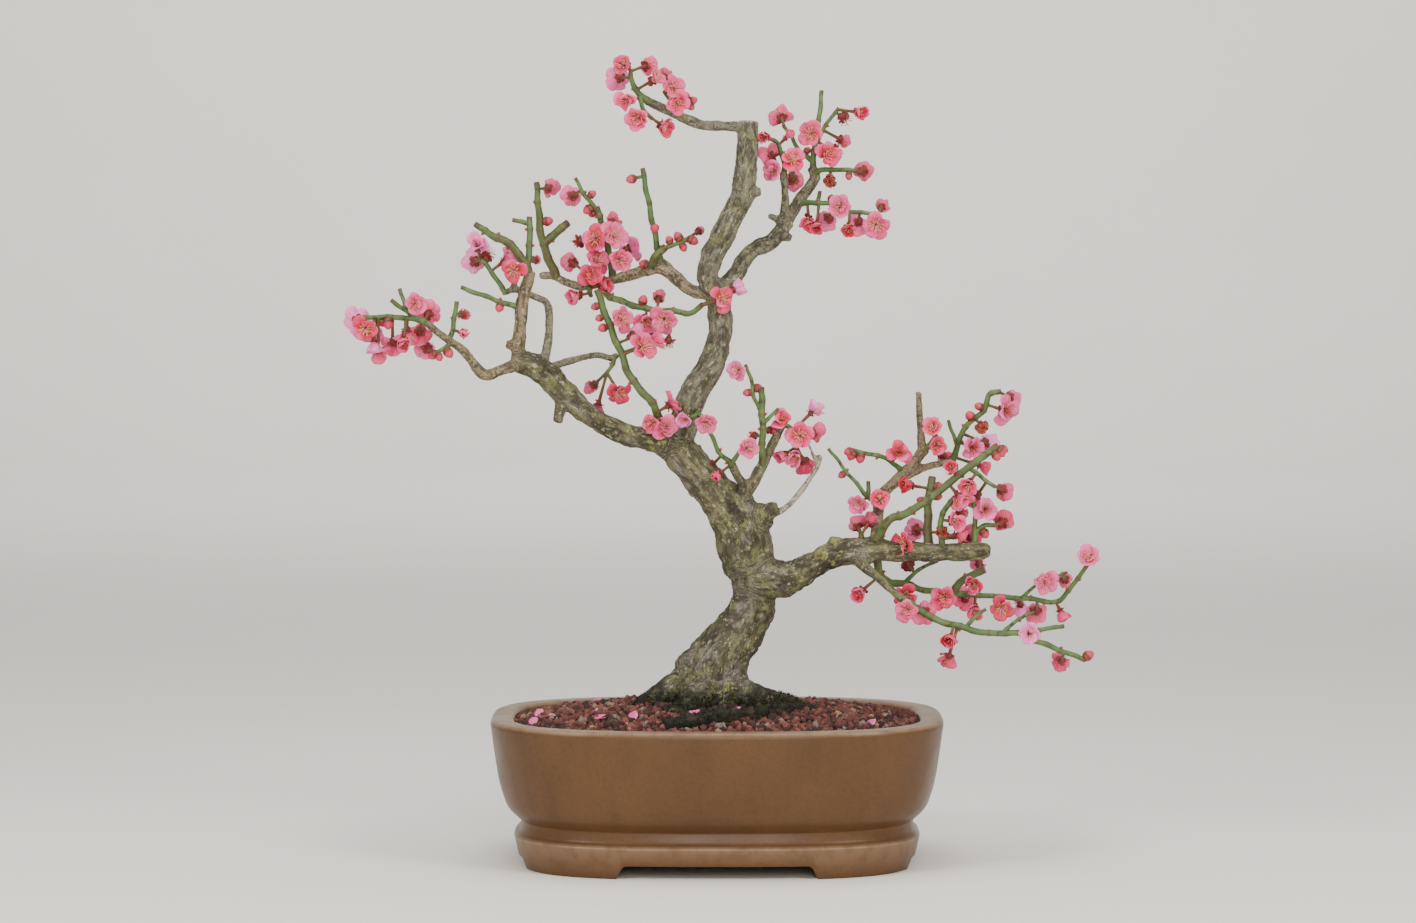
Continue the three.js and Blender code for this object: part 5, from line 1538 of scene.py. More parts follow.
@dataclass
class BloomForms:
    """The forms that every bloom is set out from, of unit radius and facing +Z."""

    seed: int = 905
    closing: tuple[float, ...] = (0, 14, 30, 44, 6, 22)
    petal_step: float = 0.012
    stamens: int = 26
    anther: float = 0.06
    thread: float = 0.017
    golden_turn: float = 2.39996
    calyx_sides: int = 10
    bud_sides: int = 9
    bud_stretch: float = 1.15
    # Radius and height of each ring
    calyx: Stem = ((0.03, -0.34), (0.12, -0.3), (0.19, -0.18), (0.24, -0.06), (0.2, 0.02), (0.06, 0.03))
    bud: Stem = (
        (0.3, -0.95), (0.72, -0.7), (0.98, -0.25), (1.0, 0.15), (0.82, 0.6), (0.5, 0.92), (0.14, 1.12),
    )

    def variants(self, name: str, start: int, fill: Fill, outward: bool) -> list[Piece]:
        """Make the variants of a form.

        Args:
            name: Their name, before their number.
            start: What is added to the seed for the first.
            fill: What builds one, from an empty shape, its own draws and its number.
            outward: Whether its faces are turned outwards.

        Returns:
            The variants.
        """
        pieces = []
        for k in range(VARIANTS):
            shape = Shape()
            fill(shape, np.random.default_rng(self.seed + start + k), k)
            pieces.append(shape.to_object(f"{name}{k}", outward))
        return pieces

    def fill_corolla(self, kind: Kind, shape: Shape, draws: Generator, k: int) -> None:
        """Add the petals of a bloom; the last open ones have a second ring of them.

        Args:
            kind: The stage of the bloom.
            shape: The empty shape.
            draws: Where the petals' own bends come from.
            k: The number of the variant, which closes it further.
        """
        is_open = kind is Kind.OPEN
        closed = self.closing[k] if is_open else 4 * k
        form = PETAL_FORMS[kind]
        rises = {"rise_start": form.rise_start + 0.5 * closed, "rise_end": form.rise_end + closed}
        form = replace(form, width=form.width * draws.uniform(0.84, 1.0), **rises)
        for petal in range(5):
            turn = math.radians(72 * petal + draws.uniform(-9, 9))
            form.add_to(shape, turn, self.petal_step * petal, draws)
        for petal in range(k - 1 if is_open and k >= 4 else 0):
            turn = math.radians(72 * petal + 36 + draws.uniform(-9, 9))
            INNER_PETAL.add_to(shape, turn, 0.05 + self.petal_step * petal, draws)

    def fill_petal(self, shape: Shape, draws: Generator, k: int) -> None:
        """Add a single fallen petal."""
        LOOSE_PETAL.add_to(shape, 0.0, 0.0, draws)

    def fill_stamens(self, shape: Shape, draws: Generator, k: int) -> None:
        """Add a tuft of stamens and its pistil.

        Args:
            shape: The empty shape.
            draws: Where its own turns and lengths come from.
            k: The number of the variant.
        """
        for i in range(self.stamens):
            turn = i * self.golden_turn + draws.uniform(-0.3, 0.3)
            spread = math.radians(8 + 46 * math.sqrt((i + 0.5) / self.stamens) + draws.uniform(-5, 5))
            self.add_filament(shape, turn, spread, draws.uniform(0.46, 0.78), self.anther)
        self.add_filament(shape, 0.0, 0.02, 0.6, 0.0)

    def add_filament(self, shape: Shape, turn: float, spread: float, length: float, anther: float) -> None:
        """Add a bent thread.

        Args:
            shape: The tuft.
            turn: Its direction round the bloom's axis, in radians.
            spread: How far it leans out, in radians.
            length: Its length.
            anther: The half length of the anther at its end, or 0 for none.
        """
        out, up = np.array([math.cos(turn), math.sin(turn), 0.0]), np.array([0.0, 0.0, 1.0])
        side = np.cross(up, out)
        bends = [(share, spread * (0.6 + 0.4 * share)) for share in (0.0, 0.5, 1.0)]
        points = [length * share * (math.sin(bend) * out + math.cos(bend) * up) for share, bend in bends]
        ring = [(math.cos(angle), math.sin(angle)) for angle in (0.0, 2.094, 4.189)]
        corners = [point + self.thread * (c * out + s * side) for point in points for c, s in ring]
        shape.add(np.array(corners), closed_faces(3, 3), tip=0.0)
        if anther:
            around = [anther * (c * out + s * side) for c, s in ((1, 0), (0, 0.7), (-1, 0), (0, -0.7))]
            corners = [points[-1] + place for place in (*around, anther * 0.8 * up, -anther * 0.8 * up)]
            faces = [(i, j, 4) for i, j in pairs(4)] + [(j, i, 5) for i, j in pairs(4)]
            shape.add(np.array(corners), faces, tip=1.0)

    def fill_calyx(self, shape: Shape, draws: Generator, k: int) -> None:
        """Add a calyx: a cup with five round lobes.

        Args:
            shape: The empty shape.
            draws: Where its own turns and lengths come from.
            k: The number of the variant.
        """
        sides = self.calyx_sides
        shape.add(lathed(self.calyx, sides), closed_faces(len(self.calyx), sides), low=0.0)
        lobe = replace(CALYX_LOBE, rise_end=12 - 30 * draws.random())
        for i in range(5):
            lobe.add_to(shape, math.radians(72 * i + 36 + draws.uniform(-5, 5)), -0.09, draws, low=0.0)

    def fill_bud(self, shape: Shape, draws: Generator, k: int) -> None:
        """Add a pointed bud, rising along +Z with a slight twist.

        Args:
            shape: The empty shape.
            draws: Where its own turns and lengths come from.
            k: The number of the variant.
        """
        turns = angles(self.bud_sides)
        bumps = 1 + 0.05 * np.sin(3 * turns + 6 * draws.random())
        rows = [(r * bump, z, turn + 0.5 * z) for r, z in self.bud for turn, bump in zip(turns, bumps)]
        corners = [(r * math.cos(turn), r * math.sin(turn), self.bud_stretch * z) for r, z, turn in rows]
        (_, low), (_, high) = self.bud[0], self.bud[-1]
        along = (np.array([z for _, z, _ in rows]) - low) / (high - low)
        shape.add(np.array(corners), closed_faces(len(self.bud), self.bud_sides), along=along)

    def build(self) -> dict[str, Forms]:
        """Make every form.

        Returns:
            The collections of forms, each under the name of its finish.
        """
        corollas = []
        for order, kind in enumerate(Kind):
            fill = partial(self.fill_corolla, kind)
            corollas += self.variants(f"corolla_{order}", 10 * order, fill, False)
        return {
            "petal": collect("corollas", corollas),
            "stamen": collect("stamens", self.variants("stamens_", 100, self.fill_stamens, True)),
            "calyx": collect("calyces", self.variants("calyx_", 200, self.fill_calyx, False)),
            "bud": collect("buds", self.variants("bud_", 300, self.fill_bud, True)),
            "loose": collect("loose_petals", self.variants("petal_", 400, self.fill_petal, False)),
        }


@dataclass(frozen=True)
class Near:
    """The place on a spray's stems next to a bloom."""

    distance: float
    depth: float
    radius: float
    base: Vector


@dataclass(frozen=True)
class Bloom:
    """A bloom in its place: millimetres about the pot."""

    kind: Kind
    centre: Vector
    base: Vector
    facing: Vector
    spin: float
    radius: float
    seen: Place


@dataclass
class Setting:
    """Works out where a spray's blooms and buds stand, from its table and its seed."""

    spray: Spray
    draws: Draws
    centres: list[Vector] = field(default_factory=list)

    def nearest(self, x: float, z: float) -> Near:
        """Find the nearest place on the stems, as seen from the front.

        Args:
            x: Where the bloom stands, to the right.
            z: Where it stands, up.

        Returns:
            The place, which keeps clear of a stem's cut end.
        """
        best = None
        for stations in self.spray.stems:
            for start, end in zip(stations, stations[1:]):
                run = (end[0] - start[0], end[1] - start[1])
                length = math.hypot(*run)
                most = 1 - min(0.5, STEM_END_INSET / length) if end is stations[-1] else 1.0
                share = ((x - start[0]) * run[0] + (z - start[1]) * run[1]) / length**2
                share = min(most, max(0.0, share))
                near = [low + share * (high - low) for low, high in zip(start, end)]
                distance = math.hypot(x - near[0], z - near[1])
                if best is None or distance < best.distance:
                    best = Near(distance, near[2], near[3] / 2, place_at(*near[:3]))
        return best

    def roomiest_forward(self, x: float, z: float, depth: float) -> float:
        """Choose how far forward of its stem a bloom stands, away from the others.

        Args:
            x: Where the bloom stands, to the right.
            z: Where it stands, up.
            depth: The depth of its stem.

        Returns:
            The distance, in millimetres.
        """
        low, high = FORWARD_RANGE
        choices = [low + (high - low) * self.draws.next() for _ in range(FORWARD_TRIES)]
        places = [place_at(x, z, depth - forward) for forward in choices]
        rooms = [min([FAR_AWAY] + [(other - place).length for other in self.centres]) for place in places]
        return choices[rooms.index(max(rooms))]

    def bloom(self, kind: Kind, entry: Place) -> Bloom:
        """Place one bloom.

        Args:
            kind: Its stage.
            entry: Its row in the table.

        Returns:
            The bloom, moved out where it would sink into its stem.
        """
        x, z = entry[:2]
        near = self.nearest(x, z)
        forward = entry[2] if len(entry) > 2 else self.roomiest_forward(x, z, near.depth)
        radius = kind.value / 2 * (1 + SIZE_VARIATION * (2 * self.draws.next() - 1))
        spin = 2 * math.pi * self.draws.next()
        centre = place_at(x, z, near.depth - forward)
        away = centre - near.base
        clear = near.radius + LEAST_REACH * radius
        if away.length < clear:
            if away.length < 1:
                away = Vector((0, 1 if forward < 0 else -1, 0))
            centre = near.base + away.normalized() * clear
        self.centres.append(centre)
        facing = (centre - near.base + Vector((0, -FORWARD_LEAN * forward, 0))).normalized()
        return Bloom(kind, centre, near.base, facing, spin, radius, (x, z))

    def blooms(self) -> list[Bloom]:
        """Place every bloom of the spray."""
        rows = zip(Kind, (self.spray.open, self.spray.cup, self.spray.tight, self.spray.spent))
        return [self.bloom(kind, entry) for kind, entries in rows for entry in entries]

    def bud(self, entry: Place) -> Bloom:
        """Place one bud.

        Args:
            entry: Its row in the table.

        Returns:
            The bud, facing away from its stem.
        """
        x, z = entry[:2]
        near = self.nearest(x, z)
        depth = near.depth + BUD_DEPTH_RANGE * (self.draws.next() - 0.5)
        away = (place_at(x, z, depth) - near.base).normalized()
        centre = near.base + away * (near.radius + BUD_SEAT)
        return Bloom(Kind.TIGHT, centre, near.base, away, 0.0, BUD_SIZE / 2, (x, z))


def turn_towards(facing: Vector, spin: float) -> tuple[float, float, float]:
    """Give the Euler turn that spins about +Z and then faces a direction."""
    turn = Vector((0, 0, 1)).rotation_difference(facing) @ Quaternion((0, 0, 1), spin)
    return tuple(turn.to_euler("XYZ"))


@dataclass
class Pot:
    """The glazed pot: a rounded rectangle in plan, with a groove above its corner feet."""

    half_width: float = 158.5
    half_depth: float = 113.5
    plan_power: float = 3.0
    plan_steps: int = 176
    even_wall_width: float = 118.0
    fillet_steps: int = 4
    # Width below, width above and height of the gaps in the foot ring
    foot_gap_front: Place = (138.0, 128.0, 9.5)
    foot_gap_side: Place = (92.0, 84.0, 8.0)
    drain_radius: float = 10.0
    drain_offset: float = 62.0
    drain_heights: Span = (2.0, 30.0)
    drain_steps: int = 40
    # Half width, height and fillet of each corner, from the underside out, up and in
    section: Stem = (
        (0, 11, 0), (126, 11, 1.5), (126, 0, 1.2), (137.5, 0, 1.6), (142.4, 21.6, 1.0), (138.7, 24.6, 1.4),
        (137.2, 32, 0.8), (147, 41, 5), (152.5, 57, 8), (156, 80, 6), (158.6, 99.5, 1.2), (157.4, 103, 1.2),
        (144.5, 103, 1.8), (142, 101, 1.5), (142, 70, 10), (128, 34, 12), (119, 18, 8), (0, 18, 0),
    )
    # Height and reach of the pale lines on the rim and the foot's shoulder: worn glaze with a painted
    # highlight
    thin_glaze_and_highlight_lines: Stem = ((102.6, 1.5), (21.6, 1.3))
    sharp_degrees: float = 40.0

    def plan(self, half_width: np.ndarray, angle: np.ndarray) -> tuple[np.ndarray, np.ndarray]:
        """Give the outline of the rounded rectangle.

        Args:
            half_width: How wide it is, from the middle.
            angle: Where on it, in radians.

        Returns:
            x and y.
        """
        inset = self.half_width - self.half_depth
        half_depth = half_width - inset * np.minimum(1, half_width / self.even_wall_width)
        power = 2 / self.plan_power
        along = np.sign(np.cos(angle)) * np.abs(np.cos(angle)) ** power
        across = np.sign(np.sin(angle)) * np.abs(np.sin(angle)) ** power
        return half_width * along, half_depth * across

    def rounded_section(self) -> np.ndarray:
        """Round the corners of the section by their fillets.

        Returns:
            Half widths and heights, starting and ending in the middle.
        """
        points = [np.array(self.section[0][:2], float)]
        for before, here, after in zip(self.section, self.section[1:], self.section[2:]):
            corner = np.array(here[:2], float)
            ends = []
            for other in (before, after):
                side = np.array(other[:2]) - corner
                length = np.linalg.norm(side)
                ends.append(corner + side / length * min(here[2], 0.45 * length))
            for share in np.linspace(0, 1, self.fillet_steps + 1):
                sides = (1 - share) ** 2 * ends[0] + share**2 * ends[1]
                points.append(sides + 2 * share * (1 - share) * corner)
        return np.array([*points, np.array(self.section[-1][:2], float)])

    def body(self) -> Shape:
        """Turn the section round the plan into a closed shape.

        Returns:
            The shape, in metres, with a value at each corner that is highest along the pale lines of worn
            glaze and painted highlight.
        """
        section = self.rounded_section()
        rim, count = section[1:-1], self.plan_steps
        half_width, turn = np.meshgrid(rim[:, 0], angles(count), indexing="ij")
        x, y = self.plan(half_width, turn)
        z = np.repeat(rim[:, 1:2], count, axis=1)
        ends = [[0, 0, section[0, 1]], [0, 0, section[-1, 1]]]
        corners = np.vstack([np.stack([x, y, z], axis=-1).reshape(-1, 3), ends])
        low, high = len(corners) - 2, len(corners) - 1
        top = low - count
        faces = []
        for i, j in pairs(count):
            faces += [(k + i, k + j, k + count + j, k + count + i) for k in range(0, top, count)]
            faces += [(low, j, i), (high, top + i, top + j)]
        outside = np.hypot(corners[:, 0] / self.half_width, corners[:, 1] / self.half_depth) > 0.7
        closeness = [np.exp(-(((corners[:, 2] - height) / reach) ** 2)) for height, reach in self.thin_glaze_and_highlight_lines]
        shape = Shape()
        # Pale lines on the outside only: worn glaze and a painted highlight
        shape.add(row_points(corners), faces, thin=np.where(outside, np.max(closeness, axis=0), 0))
        return shape

    def cutter(self, corners: Sequence[Place]) -> Piece:
        """Make a straight cutter.

        Args:
            corners: The corners of its two ends.

        Returns:
            The cutter.
        """
        shape = Shape()
        shape.add(row_points(np.array(corners)), closed_faces(2, len(corners) // 2))
        return shape.to_object("cutter")

    def wedge(self, size: Place, along_width: bool) -> Piece:
        """Make the cutter of a gap in the foot ring.

        Args:
            size: Its width below, its width above and its height.
            along_width: Whether it runs along the pot's width, not its depth.

        Returns:
            The cutter.
        """
        below, above, height = size
        side = [(below / 2, -2), (below / 2, 0), (above / 2 + 1, height - 1.6), (above / 2 - 1.4, height)]
        outline = side + [(-u, z) for u, z in side[::-1]]
        reach = 2 * self.half_width
        ends = [(u, v, z) for v in (-reach, reach) for u, z in outline]
        return self.cutter([(v, u, z) for u, v, z in ends] if along_width else ends)

    def drain(self, x: float) -> Piece:
        """Make the cutter of a drain hole at a distance to the right of the middle."""
        profile = [(self.drain_radius, height) for height in self.drain_heights]
        return self.cutter(lathed(profile, self.drain_steps) + (x, 0, 0))

    def build(self) -> None:
        """Make the pot and dress its drainage screens."""
        pot = self.body().to_object("glazed_pot")
        gaps = [self.wedge(self.foot_gap_front, False), self.wedge(self.foot_gap_side, True)]
        cutters = gaps + [self.drain(-self.drain_offset), self.drain(self.drain_offset)]
        for cutter in cutters:
            cut = pot.modifiers.new("cut", "BOOLEAN")
            cut.operation = "DIFFERENCE"
            cut.solver = "EXACT"
            cut.object = cutter
        settled(pot)
        for cutter in cutters:
            bpy.data.objects.remove(cutter)
        pot.data.shade_smooth()
        pot.data.set_sharp_from_angle(angle=math.radians(self.sharp_degrees))
        gloss = {"roughness": 0.33, "coat": 0.04, "specular": 0.22}
        glaze = GlazeFinish("brown_glaze", relief_size=12 * MM, relief_height=0.15 * MM, **gloss).build()
        seat(dress(pot, glaze), "glaze", "pot")
        plastic = MeshPlasticFinish("screen_plastic").build()
        for node in ("drain_screen_left", "drain_screen_right"):
            dress(frame["nodes"][node], plastic)


@dataclass
class Ground:
    """The soil heaped in the pot: its bed, the gravel on it, moss and fallen petals."""

    pot: Pot
    edge_height: float = 97.0
    mound: float = 15.0
    half_width: float = 141.6
    rings: int = 36
    steps: int = 120
    # Half width and height of the bed's sides, going down inside the pot
    sides: Stem = ((141.6, 92), (141.6, 70), (127.6, 34), (118.6, 18.4))
    unevenness: float = 0.9
    bump_size: float = 9.0
    seed: int = 4111
    stone_size: Span = (1.5, 3.7)
    stone_spacing: float = 3.7
    stone_forms: int = 12
    stone_corners: int = 22
    least_stone: Place = (0.8, 0.75, 0.6)
    most_stone: Place = (1.3, 1.1, 0.9)
    tuft_forms: int = 6
    tuft_blades: int = 5
    tuft_reach: float = 0.35
    blade_radius: float = 0.16
    blade_root: float = -0.15
    tuft_size: Span = (1.6, 3.2)
    tuft_spacing: float = 1.35
    moss_centre: Span = (-8.0, 4.0)
    moss_width: float = 1.25
    # Where moss starts and where it is full: out from its centre, or up
    moss_on_trunk: Span = (24.0, 30.0)
    moss_up_trunk: Span = (122.0, 118.0)
    moss_on_ridge: Span = (20.0, 50.0)
    moss_on_soil: Span = (40.0, 32.0)
    moss_up_soil: Span = (124.0, 118.0)
    ragged_reach: float = 26.0
    ragged_size: float = 11.0
    petal_lift: float = 2.2
    petal_size: Span = (7.5, 10.5)
    petal_places: Stem = (
        (-123, -12), (-110, -18), (-87, -22), (-126, -46), (-85, -52), (-62, -52), (-50, -11), (-47, -4),
        (-41, 42), (-64, 52), (-17, 14), (-15, -53), (104, -49), (12, -50), (70, 48), (-90, 60),
    )
    root_ridge: Stem = (
        (-37, 95.5, -75, 8), (-18, 97.5, -70, 12), (2, 99.5, -62, 13), (23, 101.5, -54, 11),
        (41, 104.3, -44, 11), (58, 106.3, -31, 9), (70, 107, -22, 4),
    )

    def height(self, fraction: float) -> float:
        """Give the mound's height at a share of the way to the wall."""
        return self.edge_height + self.mound * (1 - fraction**2)

    def fraction(self, x: float, y: float) -> float:
        """Give how far out a place lies.

        Args:
            x: The place, to the right.
            y: The place, away from the front.

        Returns:
            The share of the way to the wall.
        """
        half_depth = self.half_width - (self.pot.half_width - self.pot.half_depth)
        power = self.pot.plan_power
        return (abs(x / self.half_width) ** power + abs(y / half_depth) ** power) ** (1 / power)

    def bed(self) -> Piece:
        """Make the filled body of soil under the gravel.

        Returns:
            The piece, with "cover" where gravel lies on it.
        """
        widths = [self.half_width * k / self.rings for k in range(1, self.rings + 1)]
        rows = [(width, self.height(width / self.half_width)) for width in widths]
        corners = [(0.0, 0.0, self.height(0.0))]
        for half_width, level in (*rows, *self.sides):
            x, y = self.pot.plan(np.full(self.steps, half_width), angles(self.steps))
            corners.extend(zip(x, y, np.full(self.steps, level)))
        corners = np.array(corners)
        top = slice(1, 1 + self.rings * self.steps)
        bumps = [noise.noise(Vector(corner) / self.bump_size) for corner in corners[top]]
        corners[top, 2] += self.unevenness * np.array(bumps)
        last = len(corners) - self.steps
        faces = []
        for i, j in pairs(self.steps):
            faces.append((0, 1 + i, 1 + j))
            lows = range(1, last, self.steps)
            faces += [(low + i, low + self.steps + i, low + self.steps + j, low + j) for low in lows]
        faces.append(tuple(range(last, len(corners))))
        cover = np.zeros(len(corners))
        cover[top] = 1.0
        shape = Shape()
        shape.add(row_points(corners), faces, cover=cover, shade=0.2)
        return shape.to_object("soil_bed")

    def stones(self) -> Forms:
        """Make a few angular stones of unit radius.

        Returns:
            The stones: the hulls of corners thrown round a middle.
        """
        draws = np.random.default_rng(self.seed)
        stones = []
        for k in range(self.stone_forms):
            corners = draws.normal(size=(self.stone_corners, 3))
            corners /= np.linalg.norm(corners, axis=1, keepdims=True)
            widths = draws.uniform(self.least_stone, self.most_stone)
            corners *= widths * draws.uniform(0.85, 1.15, (len(corners), 1))
            work = bmesh.new()
            hull = bmesh.ops.convex_hull(work, input=[work.verts.new(corner) for corner in corners])
            bmesh.ops.delete(work, geom=hull["geom_interior"], context="VERTS")
            bmesh.ops.recalc_face_normals(work, faces=work.faces)
            mesh = bpy.data.meshes.new(f"stone_{k:02d}")
            work.to_mesh(mesh)
            work.free()
            stones.append(link(mesh.name, mesh))
        return collect("stones", stones)

    def tufts(self) -> Forms:
        """Make a few pointed tufts of moss of unit height.

        Returns:
            The tufts, each of a few blades.
        """
        draws = np.random.default_rng(self.seed + 1)
        tufts = []
        for k in range(self.tuft_forms):
            shape = Shape()
            for _ in range(self.tuft_blades):
                base = draws.uniform(-self.tuft_reach, self.tuft_reach, 2)
                tip = base + draws.uniform(-self.tuft_reach, self.tuft_reach, 2)
                turns = draws.uniform(0, 2) + np.array([0, 2.1, 4.2])
                ring = base + self.blade_radius * np.stack([np.cos(turns), np.sin(turns)], axis=1)
                corners = [(*corner, self.blade_root) for corner in ring] + [(*tip, draws.uniform(0.6, 1.0))]
                shape.add(corners, [(0, 2, 1), (0, 1, 3), (1, 2, 3), (2, 0, 3)])
            tufts.append(shape.to_object(f"tuft_{k}"))
        return collect("tufts", tufts)

    def mossy_ground(self, bed: Piece, wood: Piece, ridge: Piece) -> Piece:
        """Give the surfaces that carry moss.

        Args:
            bed: The soil under the gravel.
            wood: The finished wood.
            ridge: The surface root.

        Returns:
            The surfaces as one, with "cover" highest at the foot of the trunk.
        """
        shape = Shape()
        for source in (bed, ridge, wood):
            corners = read(source.data, "position")
            local = (corners - np.array(ORIGIN)) / MM
            right, away = (local[:, :2] - self.moss_centre).T
            reach = np.hypot(right / self.moss_width, away)
            bumps = [noise.noise(Vector(place) / self.ragged_size) for place in local]
            ragged = reach + self.ragged_reach * np.array(bumps)
            if source is wood:
                cover = ramp(reach, *self.moss_on_trunk) * ramp(local[:, 2], *self.moss_up_trunk)
            elif source is ridge:
                cover = 0.5 * ramp(ragged, *self.moss_on_ridge)
            else:
                cover = ramp(ragged, *self.moss_on_soil) * ramp(local[:, 2], *self.moss_up_soil)
                cover *= read(source.data, "cover")[:, 0]
            kept = [tuple(face.vertices) for face in source.data.polygons if cover[face.vertices[0]] > 0.01]
            shape.add(corners, kept, cover=cover)
        return shape.to_object("moss", outward=False)

    def fallen_petals(self, forms: Forms, material: Material) -> Piece:
        """Lay single petals on the gravel.

        Args:
            forms: Loose petals of unit length.
            material: The petals' finish.

        Returns:
            The finished piece.
        """
        draws = Draws(self.seed)
        smallest, largest = self.petal_size
        rows = []
        for x, y in self.petal_places:
            facing = Vector((draws.next() - 0.5, -0.15 - 0.6 * draws.next(), 1)).normalized()
            rows.append({
                "place": (x, y, self.height(self.fraction(x, y)) + self.petal_lift),
                "turn": turn_towards(facing, 2 * math.pi * draws.next()),
                "lilac": 0.3 + 0.7 * draws.next(),
                "variant": int(VARIANTS * draws.next()),
                "size": (smallest + (largest - smallest) * draws.next()) * MM,
            })
        piece = points_object("fallen_petals", rows)
        return grown(piece, "set_out", {"Forms": forms, "Material": material})

    def build(self, wood: Piece, petals: Forms, petal: Material) -> None:
        """Make the whole ground.

        Args:
            wood: The finished wood.
            petals: Loose petals of unit length.
            petal: The petals' finish.
        """
        bed = self.bed()
        gravel = link("gravel", bed.data.copy())
        stones, tufts = self.stones(), self.tufts()
        pores = {"relief_size": 0.7 * MM, "relief_height": 0.3 * MM}
        lava = GravelFinish("lava_gravel", roughness=0.95, **pores).build()
        dark_moss = MossFinish("dark_moss", roughness=0.95).build()
        grown(gravel, "strew", {
            "Forms": stones, "Variants": self.stone_forms - 1, "Spacing": self.stone_spacing * MM,
            "Smallest": self.stone_size[0] * MM, "Largest": self.stone_size[1] * MM, "Tilt": math.pi,
            "Sink": -0.25, "Seed": self.seed, "Material": lava,
        })
        line, radii, _ = smooth_path(self.root_ridge, 3.0)
        ridge = paths_object("surface_root", [{"place": row_points(line), "girth": radii * MM}])
        grown(ridge, "wood", {"Sides": 18, "Lump size": 6 * MM, "Lump share": 1.5})
        moss = grown(self.mossy_ground(bed, wood, ridge), "strew", {
            "Forms": tufts, "Variants": self.tuft_forms - 1, "Spacing": self.tuft_spacing * MM,
            "Smallest": self.tuft_size[0] * MM, "Largest": self.tuft_size[1] * MM, "Tilt": 0.7,
            "Sink": 0.1, "Seed": self.seed + 2, "Material": dark_moss,
        })
        discard(stones)
        discard(tufts)
        seat(dress(bed, lava), "gravel", "soil")
        seat(gravel, "gravel")
        seat(moss, "gravel")
        seat(dress(ridge, dark_moss), "bark")
        seat(self.fallen_petals(petals, petal), "blossom_spray")


